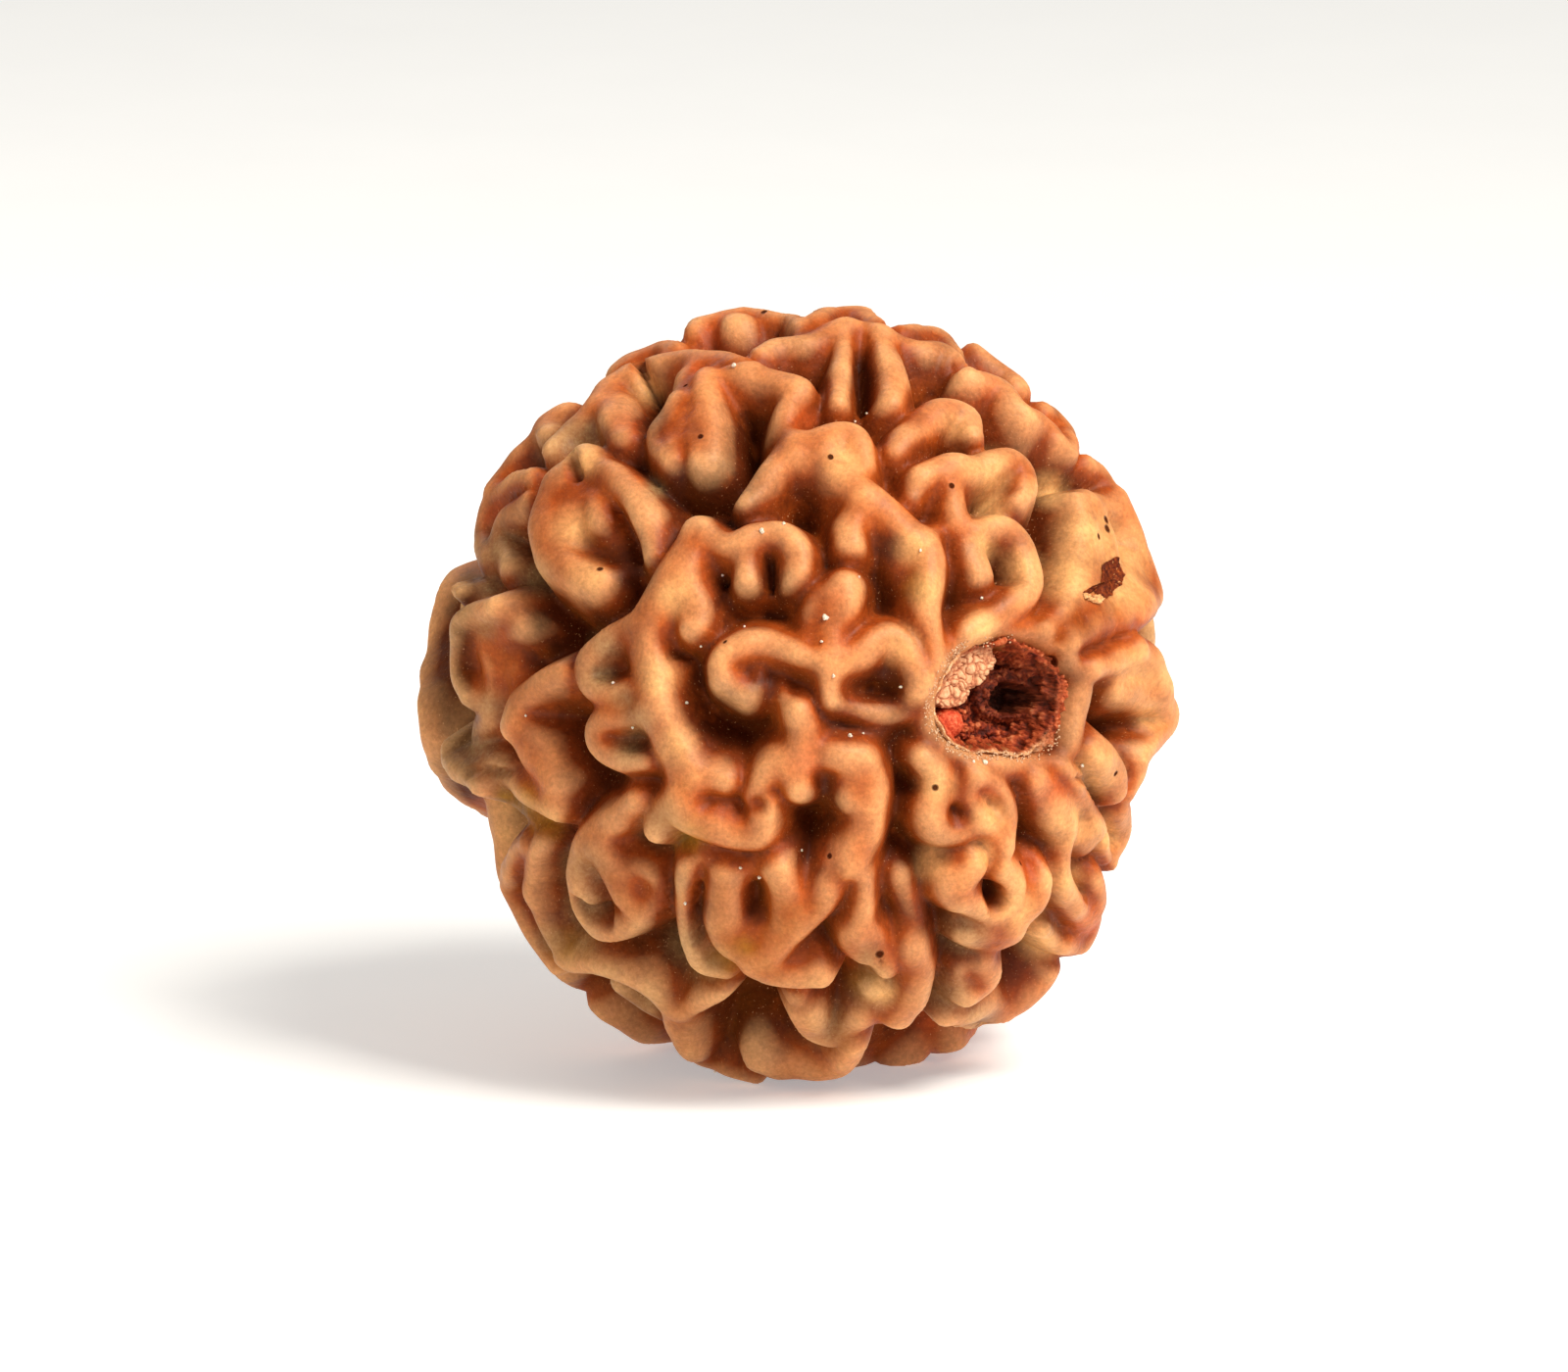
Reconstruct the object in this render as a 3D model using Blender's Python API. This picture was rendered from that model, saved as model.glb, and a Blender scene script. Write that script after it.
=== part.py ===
"""Ganesh rudraksha: the dried, deeply furrowed stone of a fruit, grown as one solid.

The skin is one closed surface seen from the middle of the stone: a smooth egg-shaped body, with
ridges that stand at its full height, furrows between them, dimples, the open mouth at one pole and
the trunk-like lump on the left. On the side that the photograph shows, each ridge has its own place.
The hidden side repeats those ridges through the middle of the stone, bent out of shape.
"""

import math

import bmesh
import bpy
import numpy as np
from mathutils import Vector

NODE = "rudraksha_bead"
MM = 0.001

# Driving sizes of the smooth body, in millimetres, and the photograph's view of it.
HALF_WIDTH = 11.4
HALF_HEIGHT = 12.5
HALF_DEPTH = 11.8
REST_HEIGHT = 11.95
VIEW_ELEVATION = math.radians(12)

# Where the middle of the body stands, so that the whole stone is centred over the origin.
BODY_MIDDLE = (0.615, 0.16, REST_HEIGHT)

# The photograph shows 32 pixels to the millimetre, with the middle of the stone at this pixel.
PIXELS_PER_MM = 32
MIDDLE_X = 835
MIDDLE_Y = 705

# Heights are shares of the smooth body's radius, and one unit of height is this many millimetres.
HEIGHT_UNIT = 12.5
FLOOR_HEIGHT = 0.80

# Ridges of one lobe run together softly, lobes meet in tight creases, and crests stop at a ceiling.
LOBE_JOIN = 45
JOIN_SHARPNESS = 120
LIMIT_JOIN = 140
CREST_LIMIT = 1.022
TRUNK_LIMIT = 1.16

# The hidden side: its ceiling at the outline, the ceiling's climb behind it and its fall in front of it,
# the tallest crests and how much they vary, and how much lower the repeated trunk is.
HIDDEN_CEILING = 0.972
HIDDEN_CLIMB = 0.16
HIDDEN_FALL = 1.6
HIDDEN_CREST = 1.012
HIDDEN_VARIETY = 0.02
HIDDEN_TRUNK_DROP = 0.11

# Unevenness: (amount, wavelength in millimetres, seed). The first two bend the ridges sideways.
SHOWN_BEND = 0.04
HIDDEN_BEND = 0.45
BEND_WAVE = 7.0
BEND_SEEDS = (11, 12, 13)
FLOOR_RIPPLE = (0.012, 5.0, 3)
SKIN_RIPPLES = ((0.004, 1.6, 21), (0.006, 3.4, 22))

# A ridge's cross-section: a round top, as a share of its half width, then a straight flank.
TOP_ROUNDNESS = 0.93
FLANK_SLOPE = 2.05

# Millimetres: how deep a ridge's middle lies, the spacing of points along it, and how far it reaches.
DEEPEST_CORE = 0.8
SAMPLE_STEP = 0.09
REACH = 2.2

# Millimetres: points past the egg shape's outline stand this far in front of it or behind it.
LIMB_DEPTH = 1.6

# The height at which the hollows' places are read.
HOLLOW_LEVEL = 0.97

# The mouth: its outline as radius in pixels by direction, its floor, and the well in it.
MOUTH = (1020, 713)
MOUTH_OUTLINE = (
    (0, 75), (12, 80), (30, 70), (50, 64), (75, 61), (102, 58), (128, 66), (156, 71), (180, 78),
    (200, 78), (215, 74), (235, 66), (255, 58), (275, 56), (295, 64), (310, 72), (335, 71),
)
MOUTH_RIM_HEIGHT = 0.945
MOUTH_FLOOR_HEIGHT = 0.785
MOUTH_WALL_SHARE = 0.14
WELL = (1022, 711)
WELL_RADIUS = 0.55
WELL_FLOOR_HEIGHT = 0.69
WELL_WALL = 0.25

# The flat spot that the stone rests on: its radius and how far the skin reaches past it before the cut.
FOOT_RADIUS = 1.7
FOOT_DEPTH = 0.3
FOOT_SLOPE = 1.1

# Directions that point down by more than this share belong to the underside.
UNDERSIDE = 0.5

GROUND_BLOCK = (40, 40, 10)

# The grid on the six sides of the start shape, and the rounds that even out its spacing.
GRID = 84
RELAX_ROUNDS = 7
RELAX_HOLD = 0.35

# How many triangles the solid keeps.
TRIANGLES = 12400

# How far the limb of the stone stands out from the egg shape: (degrees round the face, share).
LIMB_SHARES = (
    (0, 1.01), (30, 0.99), (60, 1.0), (90, 0.995), (112, 1.0), (130, 1.03), (148, 1.08),
    (165, 1.05), (182, 1.01), (200, 1.01), (220, 1.045), (240, 1.045), (260, 1.025),
    (285, 1.005), (305, 0.995), (320, 0.995), (335, 0.955), (348, 0.985),
)

# Ridges of each lobe: height, then (x, y, half width) in the photograph's pixels, along the ridge.
RIDGES = {
    "crown_far_left": {
        "crown_far_left": (1, ((503, 497, 16), (522, 466, 22), (550, 440, 24), (585, 428, 22))),
        "crown_far_left_knob": (0.995, ((578, 433, 24), (570, 452, 18))),
    },
    "crown_left": {
        "crown_left_knob": (1, ((632, 382, 22), (660, 374, 27), (690, 368, 18))),
    },
    "crown_top": {
        "crown_top_knob": (1.01, ((712, 346, 15), (735, 332, 22), (756, 345, 24))),
        "crown_top_arch": (1, ((764, 328, 12), (785, 330, 13), (812, 333, 12), (820, 344, 11))),
    },
    "crown_edge": {
        "crown_right_edge": (1, ((918, 345, 14), (950, 350, 18), (972, 362, 14))),
    },
    "crown_edge_knob": {
        "crown_right_knob": (1, ((992, 366, 17), (1016, 384, 22), (1034, 402, 20))),
    },
    "crown_edge_low": {
        "crown_right_low": (1, ((1062, 424, 18), (1078, 440, 22), (1086, 462, 18))),
    },
    "crown_edge_last": {
        "crown_right_last": (0.995, ((1104, 478, 16), (1122, 494, 15), (1136, 510, 10))),
    },
    "brow": {
        "mass": (0.925, ((600, 430, 34), (640, 420, 34), (730, 420, 40), (790, 410, 36))),
        "brow": (1, ((573, 466, 16), (588, 452, 20), (606, 438, 22), (622, 416, 23), (645, 395, 21),
                     (690, 379, 20), (735, 379, 20), (766, 388, 16))),
        "brow_body": (0.99, ((630, 415, 24), (637, 435, 26), (642, 456, 24))),
        "brow_inner": (0.985, ((704, 392, 16), (698, 415, 17))),
        "brow_lobe": (0.995, ((696, 424, 18), (682, 440, 20), (678, 456, 19), (690, 474, 15))),
        "tongue": (1.01, ((722, 398, 18), (724, 428, 21), (724, 452, 23), (722, 472, 21))),
        "tongue_web": (0.99, ((700, 430, 20), (702, 458, 18))),
        "brow_right": (1, ((726, 396, 18), (760, 394, 18), (795, 402, 22), (812, 412, 27))),
        "brow_link": (0.99, ((804, 428, 17), (799, 446, 15))),
    },
    "bridge": {
        "mass": (0.955, ((840, 492, 34), (895, 545, 24), (922, 590, 26), (934, 640, 20))),
        "bridge_web": (0.98, ((936, 556, 15), (958, 548, 14), (976, 542, 12))),
        "middle_top": (1.01, ((818, 470, 26), (848, 460, 27), (868, 458, 25), (878, 480, 17))),
        "middle_top_left": (0.995, ((808, 455, 18), (794, 482, 18), (776, 504, 16), (762, 518, 12))),
        "bridge_crest": (1.01, ((845, 475, 20), (862, 498, 21), (884, 514, 21), (907, 530, 20),
                                (928, 549, 19), (945, 567, 18), (948, 592, 17), (944, 622, 17),
                                (947, 650, 15), (953, 678, 11))),
        "bridge_lobe": (1, ((880, 520, 18), (868, 542, 20), (867, 560, 19))),
    },
    "crown": {
        "mass": (0.945, ((880, 362, 26), (935, 385, 30), (962, 392, 24))),
        "crown_peak": (1.01, ((834, 336, 14), (852, 328, 18), (874, 328, 18), (892, 336, 14))),
        "crown_crest": (1, ((776, 368, 14), (800, 360, 17), (828, 358, 18), (852, 352, 18),
                            (880, 348, 18), (905, 356, 18), (932, 364, 18), (960, 371, 21),
                            (986, 388, 15), (1012, 404, 21), (1040, 427, 16), (1062, 440, 20),
                            (1078, 449, 13))),
        "crown_spur": (0.985, ((864, 352, 13), (859, 380, 13), (856, 414, 11))),
        "crown_tongue": (1, ((898, 358, 17), (907, 380, 19), (913, 402, 20), (910, 418, 17))),
    },
    "arch": {
        "arch_right": (0.995, ((914, 466, 18), (932, 446, 22), (958, 432, 25), (982, 436, 22),
                               (994, 450, 15))),
    },
    "curl": {
        "mass": (0.9, ((950, 460, 30), (1000, 500, 30), (1010, 580, 30))),
        "curl_top": (1.01, ((938, 490, 16), (962, 484, 18), (992, 484, 18), (1018, 477, 18),
                            (1036, 482, 20), (1044, 500, 18), (1040, 512, 14))),
        "curl_hook": (0.985, ((932, 498, 15), (928, 512, 12))),
        "curl_stem": (1, ((967, 490, 17), (970, 515, 17), (974, 540, 18), (984, 562, 20), (992, 580, 20),
                          (998, 592, 17))),
        "curl_lower": (1, ((996, 546, 15), (1020, 545, 18), (1036, 560, 19), (1046, 582, 18),
                           (1046, 602, 18), (1034, 618, 18), (1010, 634, 18), (985, 648, 15))),
    },
    "right_lobe": {
        "mass": (0.985, ((1108, 534, 28), (1116, 562, 32), (1114, 600, 32), (1100, 634, 24))),
        "right_lobe_left": (0.985, ((1094, 524, 22), (1097, 548, 27), (1096, 578, 28), (1090, 606, 25),
                                    (1078, 630, 20), (1062, 643, 15))),
        "right_lobe_top": (0.99, ((1104, 516, 20), (1126, 522, 22), (1146, 534, 20))),
        "right_lobe_body": (0.99, ((1122, 528, 26), (1138, 552, 28), (1144, 582, 30), (1134, 614, 30),
                                   (1110, 640, 24), (1086, 654, 16))),
        "right_lobe_side": (0.995, ((1138, 518, 22), (1154, 550, 26), (1160, 582, 28), (1152, 614, 26),
                                    (1134, 634, 20))),
        "right_lobe_limb": (1.0, ((1146, 520, 20), (1162, 548, 22), (1170, 578, 22), (1164, 610, 22),
                                  (1148, 632, 18))),
    },
    "ear": {
        "mass": (0.99, ((586, 508, 28), (590, 530, 28), (590, 552, 26))),
        "mound": (0.985, ((602, 506, 26), (616, 520, 28), (622, 536, 24))),
        "ear_floor": (0.93, ((638, 558, 26), (652, 580, 20))),
        "ear_outer": (1.005, ((604, 476, 22), (584, 494, 24), (570, 518, 27), (568, 548, 27),
                              (576, 574, 26), (598, 590, 24), (616, 598, 24))),
        "ear_inner": (1, ((606, 476, 20), (626, 488, 19), (646, 502, 20), (660, 520, 22), (668, 542, 18),
                          (670, 565, 13))),
    },
    "ear_side": {
        "ear_lobe": (0.98, ((546, 520, 18), (528, 538, 24), (520, 562, 22), (528, 588, 18))),
        "ear_edge": (0.99, ((548, 490, 13), (522, 503, 18), (506, 526, 20), (500, 555, 18),
                            (505, 580, 14))),
    },
    "left": {
        "mass": (0.965, ((530, 650, 30), (545, 700, 34), (560, 760, 36))),
        "left_top": (1.005, ((514, 644, 24), (534, 638, 20))),
        "left_edge": (1, ((512, 668, 24), (514, 700, 24), (508, 728, 22), (500, 752, 20), (508, 776, 20),
                          (530, 796, 18), (556, 812, 16), (574, 824, 13))),
        "left_fold": (1.01, ((580, 688, 15), (556, 700, 18), (538, 716, 20), (530, 738, 18))),
        "left_body": (1, ((548, 742, 28), (562, 768, 32), (578, 794, 26))),
        "left_neck": (0.965, ((522, 812, 10), (545, 824, 12), (558, 838, 12), (560, 852, 12))),
    },
    "face": {
        "mass": (0.885, ((700, 640, 44), (700, 720, 44), (730, 800, 40))),
        "face_spine": (1.015, ((716, 548, 21), (704, 572, 25), (690, 600, 28), (668, 634, 28),
                               (662, 662, 27), (670, 690, 25), (674, 716, 25), (684, 745, 25),
                               (698, 772, 25), (706, 800, 24), (708, 828, 20))),
        "face_crown": (1.01, ((716, 545, 18), (745, 558, 16), (772, 551, 17), (798, 551, 18),
                              (815, 565, 17), (818, 585, 14))),
        "face_crown_tooth": (0.995, ((763, 560, 14), (765, 580, 15), (765, 594, 14))),
        "face_crown_tooth_right": (0.99, ((806, 565, 13), (806, 582, 13), (808, 596, 11))),
        "face_knob": (1.01, ((708, 575, 16), (706, 598, 19), (712, 622, 21), (713, 638, 19))),
        "cup_mass": (0.94, ((630, 682, 20), (632, 684, 20))),
        "cup_mass_low": (0.94, ((640, 754, 20), (650, 752, 20))),
        "cup_upper": (1, ((645, 642, 17), (624, 655, 18), (608, 670, 17), (602, 688, 16), (610, 703, 15),
                          (628, 708, 14), (645, 702, 12))),
        "cup_lower": (1, ((668, 728, 15), (642, 730, 17), (620, 736, 18), (612, 750, 18), (620, 766, 16),
                          (640, 776, 14), (660, 776, 11))),
        "face_chin_left": (1, ((694, 812, 18), (678, 832, 20), (674, 842, 18))),
        "face_chin": (1.015, ((706, 826, 22), (726, 836, 24), (750, 846, 22), (770, 848, 20),
                              (778, 832, 17), (780, 820, 14))),
        "face_bulge": (1, ((708, 782, 17), (728, 790, 18), (742, 796, 16))),
    },
    "middle": {
        "mass": (0.925, ((850, 660, 34), (900, 700, 34), (890, 740, 34))),
        "hook_outer": (1.01, ((740, 690, 13), (740, 676, 14), (756, 664, 16), (778, 658, 16),
                              (800, 663, 14), (820, 670, 12), (836, 675, 10))),
        "hook_inner": (0.99, ((744, 694, 14), (756, 702, 16), (766, 708, 16))),
        "hook_rim": (0.97, ((778, 690, 8), (793, 704, 8), (808, 718, 9))),
        "middle_knob": (1.01, ((862, 604, 23), (860, 622, 22), (850, 642, 19), (846, 665, 13),
                               (845, 700, 10), (846, 715, 8))),
        "middle_knob_left": (0.985, ((838, 610, 16), (830, 628, 15), (826, 648, 12))),
        "wing": (1.01, ((850, 682, 15), (876, 668, 19), (902, 655, 20), (920, 662, 19), (930, 678, 18),
                        (938, 695, 16), (936, 708, 13))),
        "wing_lower": (0.965, ((855, 720, 14), (890, 728, 13), (925, 728, 13))),
    },
    "knuckle": {
        "mass": (0.9, ((840, 770, 30), (870, 800, 30), (850, 880, 30))),
        "knuckle": (1.01, ((816, 726, 15), (822, 748, 20), (818, 772, 21), (814, 788, 20),
                           (816, 802, 17))),
        "knuckle_left": (1, ((798, 772, 16), (786, 784, 16), (778, 796, 14), (770, 812, 12))),
        "knuckle_link": (1, ((822, 766, 16), (850, 770, 16), (874, 774, 16))),
        "pier": (1.01, ((850, 770, 16), (876, 774, 19), (886, 790, 20), (889, 808, 19), (886, 830, 18),
                        (880, 850, 20), (870, 876, 20))),
        "pier_tooth": (0.995, ((866, 790, 14), (864, 806, 14), (868, 818, 12))),
        "pier_foot": (0.985, ((864, 866, 22), (848, 888, 24), (838, 904, 22))),
    },
    "inner_curl": {
        "mass": (0.94, ((950, 810, 26), (1000, 825, 30))),
        "inner_curl_crest": (1, ((942, 774, 16), (954, 786, 20), (954, 806, 22), (950, 826, 22),
                                 (962, 844, 20), (982, 842, 17), (998, 834, 13))),
        "inner_loop": (1, ((990, 790, 13), (986, 812, 14), (1000, 836, 15), (1012, 858, 16),
                           (1012, 880, 16))),
        "inner_loop_right": (1, ((1000, 792, 12), (1016, 808, 14), (1024, 830, 15), (1020, 856, 14))),
    },
    "sheet": {
        "mass": (0.975, ((1045, 795, 22), (1072, 822, 28), (1095, 850, 26))),
        "sheet_rim": (0.99, ((1080, 784, 11), (1095, 802, 12), (1110, 826, 12), (1120, 850, 12),
                             (1124, 870, 12))),
        "sheet_body": (0.985, ((1048, 796, 20), (1062, 818, 24), (1078, 842, 22))),
        "sheet_knob": (0.995, ((1082, 866, 14), (1080, 882, 16), (1080, 894, 14))),
    },
    "right_edge": {
        "mass": (0.972, ((1126, 702, 26), (1162, 712, 26), (1168, 730, 22))),
        "low_mass": (0.91, ((1150, 760, 26), (1120, 800, 24))),
        "right_rim": (1.01, ((1152, 662, 18), (1166, 674, 19), (1174, 696, 19), (1180, 720, 20),
                             (1180, 738, 20), (1172, 754, 18), (1160, 772, 16), (1154, 792, 16),
                             (1148, 808, 14))),
        "right_tongue": (1, ((1146, 668, 17), (1126, 676, 17), (1110, 682, 15))),
    },
    "right_egg": {
        "right_egg": (1, ((1106, 764, 20), (1118, 778, 23), (1128, 794, 22), (1132, 804, 18))),
    },
    "right_low": {
        "right_low_edge": (1, ((1140, 822, 15), (1138, 848, 16), (1128, 872, 16))),
    },
    "notch": {
        "mass": (0.94, ((612, 870, 34), (630, 910, 34), (670, 900, 24))),
        "notch_ridge": (1.005, ((652, 818, 15), (632, 834, 17), (608, 850, 19), (600, 874, 20),
                                (600, 902, 20), (604, 926, 20), (618, 942, 19), (636, 942, 18),
                                (654, 930, 15))),
        "notch_lobe": (1.01, ((618, 862, 17), (630, 880, 21), (640, 898, 22), (643, 908, 20))),
        "notch_right": (0.975, ((655, 882, 14), (672, 896, 14), (672, 915, 14))),
    },
    "low_left": {
        "low_left_sheet": (0.99, ((560, 852, 13), (552, 872, 15), (548, 900, 15), (554, 926, 15),
                                  (566, 948, 16), (580, 964, 17))),
    },
    "low_left_edge": {
        "low_left_edge": (1, ((542, 856, 12), (530, 872, 16), (525, 896, 17), (528, 920, 17),
                              (540, 944, 17), (554, 968, 17), (568, 984, 14))),
    },
    "ledge": {
        "mass": (0.93, ((640, 1000, 24), (690, 1020, 30))),
        "ledge": (0.99, ((578, 972, 14), (602, 978, 14), (632, 984, 15), (662, 998, 18), (690, 1018, 22),
                         (704, 1040, 26), (716, 1060, 24), (728, 1074, 20))),
        "ledge_spur": (0.98, ((702, 1022, 16), (722, 1012, 15), (738, 1004, 12))),
    },
    "bag": {
        "mass": (0.955, ((740, 900, 34), (765, 940, 38), (790, 970, 30))),
        "bag_sheet": (0.985, ((706, 880, 13), (702, 905, 13), (701, 932, 13), (708, 956, 14),
                              (720, 976, 16), (742, 984, 15))),
        "bag_left": (1.01, ((742, 890, 20), (742, 912, 23), (742, 936, 25), (750, 956, 22),
                            (764, 968, 18))),
        "bag_top": (0.975, ((722, 868, 14), (750, 880, 14), (778, 880, 12))),
        "bag_right": (1.01, ((792, 884, 18), (802, 906, 22), (804, 928, 23), (796, 950, 20),
                             (782, 968, 19))),
        "bag_slope": (1, ((842, 900, 22), (826, 922, 22), (810, 940, 18))),
        "bag_saddle": (0.99, ((772, 942, 20), (776, 960, 18))),
        "bag_base": (1.01, ((768, 980, 17), (792, 985, 20), (815, 988, 20), (832, 988, 19))),
        "bag_drip": (0.975, ((812, 1006, 14), (812, 1012, 14))),
    },
    "stalk": {
        "stalk": (1, ((880, 890, 11), (880, 912, 13), (878, 935, 17), (888, 952, 20), (898, 970, 18),
                      (904, 986, 13))),
        "stalk_shoulder": (0.98, ((864, 938, 18), (868, 956, 18), (878, 968, 14))),
        "nose": (1.01, ((928, 962, 17), (934, 985, 22), (926, 1008, 24), (916, 1028, 22))),
        "nose_slope": (0.96, ((915, 890, 20), (925, 920, 22), (928, 946, 22))),
        "nose_root": (0.975, ((890, 1000, 18), (888, 1026, 18))),
        "drop": (0.99, ((822, 1022, 22), (836, 1040, 24), (854, 1042, 22), (876, 1032, 16))),
    },
    "base": {
        "mass": (0.93, ((780, 1058, 28), (850, 1058, 28))),
        "base_lobe": (1.01, ((776, 1078, 20), (800, 1080, 23), (830, 1080, 23), (856, 1074, 22),
                             (872, 1060, 16))),
        "base_left": (1, ((740, 1082, 14), (756, 1090, 13), (770, 1090, 13))),
    },
    "ring": {
        "mass": (0.955, ((985, 895, 34), (1030, 900, 40), (1005, 945, 34))),
        "ring_left": (1.01, ((985, 874, 16), (968, 890, 20), (964, 904, 18), (974, 914, 15))),
        "ring": (1.015, ((990, 880, 14), (982, 900, 14), (990, 918, 16), (1008, 922, 18), (1024, 912, 18),
                         (1028, 896, 16), (1018, 882, 13))),
        "ring_body": (1.01, ((1008, 934, 24), (1028, 924, 28), (1046, 906, 24), (1056, 894, 18))),
        "ring_base": (0.99, ((982, 944, 20), (1004, 948, 22), (1026, 942, 20))),
    },
    "drape": {
        "right_drape": (1, ((1084, 896, 14), (1088, 914, 16), (1096, 930, 20), (1096, 946, 20),
                            (1082, 958, 15))),
        "right_drape_edge": (1, ((1110, 892, 17), (1112, 914, 18), (1108, 934, 18), (1098, 950, 16))),
        "right_drape_left": (0.975, ((1062, 946, 12), (1070, 956, 13), (1082, 962, 12))),
    },
    "plug": {
        "mass": (0.93, ((985, 1000, 30), (1035, 1000, 26))),
        "plug": (1, ((1000, 974, 17), (1004, 988, 19), (996, 1000, 17), (984, 1008, 13))),
        "plug_body": (0.98, ((978, 980, 18), (976, 1000, 18))),
        "low_right": (1, ((1066, 984, 16), (1052, 1004, 20), (1032, 1018, 22), (1010, 1022, 22),
                          (984, 1024, 20), (964, 1030, 17))),
        "low_right_rim": (0.985, ((1020, 1038, 12), (1000, 1042, 12), (978, 1040, 12))),
    },
    "mouth_surround": {
        "ring": (0.968, ((944, 694, 15), (941, 722, 15), (947, 750, 15), (966, 771, 15), (1002, 782, 16),
                         (1042, 784, 16), (1074, 776, 15), (1088, 748, 15), (1096, 714, 15),
                         (1096, 690, 15), (1082, 668, 15), (1060, 650, 14), (1034, 642, 14),
                         (1004, 644, 13), (978, 652, 13), (957, 670, 14), (944, 694, 15))),
    },
}

# Lobes that lie behind the stone's outline and still show past it.
BEHIND = {
    "under_ledge": {
        "near": (1.0, ((572, 986, 14), (605, 994, 18), (640, 1008, 20), (664, 1034, 20))),
    },
    "under_ledge_far": {
        "far": (1.03, ((622, 1018, 24), (645, 1034, 28), (672, 1044, 22), (700, 1052, 16))),
    },
    "base_far": {
        "left": (1.01, ((905, 1062, 20), (915, 1078, 22), (932, 1074, 18))),
        "right": (1.01, ((945, 1056, 18), (965, 1058, 20), (985, 1046, 16))),
    },
    "top_far": {
        "edge": (1.0, ((940, 352, 18), (965, 362, 18), (1000, 380, 18))),
    },
}

# The trunk: it stands out past the body at the left, mostly behind the outline.
TRUNK_BEHIND = {
    "trunk": {
        "mass": (0.985, ((490, 620, 28), (482, 660, 34), (480, 710, 36), (484, 760, 34), (504, 800, 24))),
        "back": (1.02, ((508, 610, 28), (494, 650, 34), (488, 700, 36), (494, 750, 34), (514, 800, 28))),
    },
    "trunk_back": {
        "fold": (1.06, ((494, 604, 15), (486, 624, 19), (484, 650, 20), (482, 680, 20))),
        "fold_low": (1.06, ((478, 716, 20), (480, 744, 20), (488, 774, 18), (502, 802, 14))),
        "fold_back": (1.035, ((516, 636, 18), (508, 670, 22), (506, 712, 22), (514, 756, 18))),
    },
    "trunk_rim": {
        "rim": (1.12, ((496, 592, 10), (476, 586, 11), (459, 600, 11), (451, 628, 11), (447, 658, 11),
                       (442, 690, 11), (438, 728, 12), (442, 764, 13), (456, 790, 14), (484, 812, 17),
                       (518, 824, 15))),
    },
}
TRUNK_FRONT = {
    "trunk_fold": {
        "fold": (1.055, ((506, 620, 13), (484, 632, 14), (474, 652, 14), (473, 684, 15), (479, 712, 13))),
    },
    "trunk_knobs": {
        "bead": (1.05, ((470, 603, 8), (474, 606, 8))),
        "knobs": (1.06, ((458, 762, 11), (470, 782, 13), (488, 800, 14))),
    },
}

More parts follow.
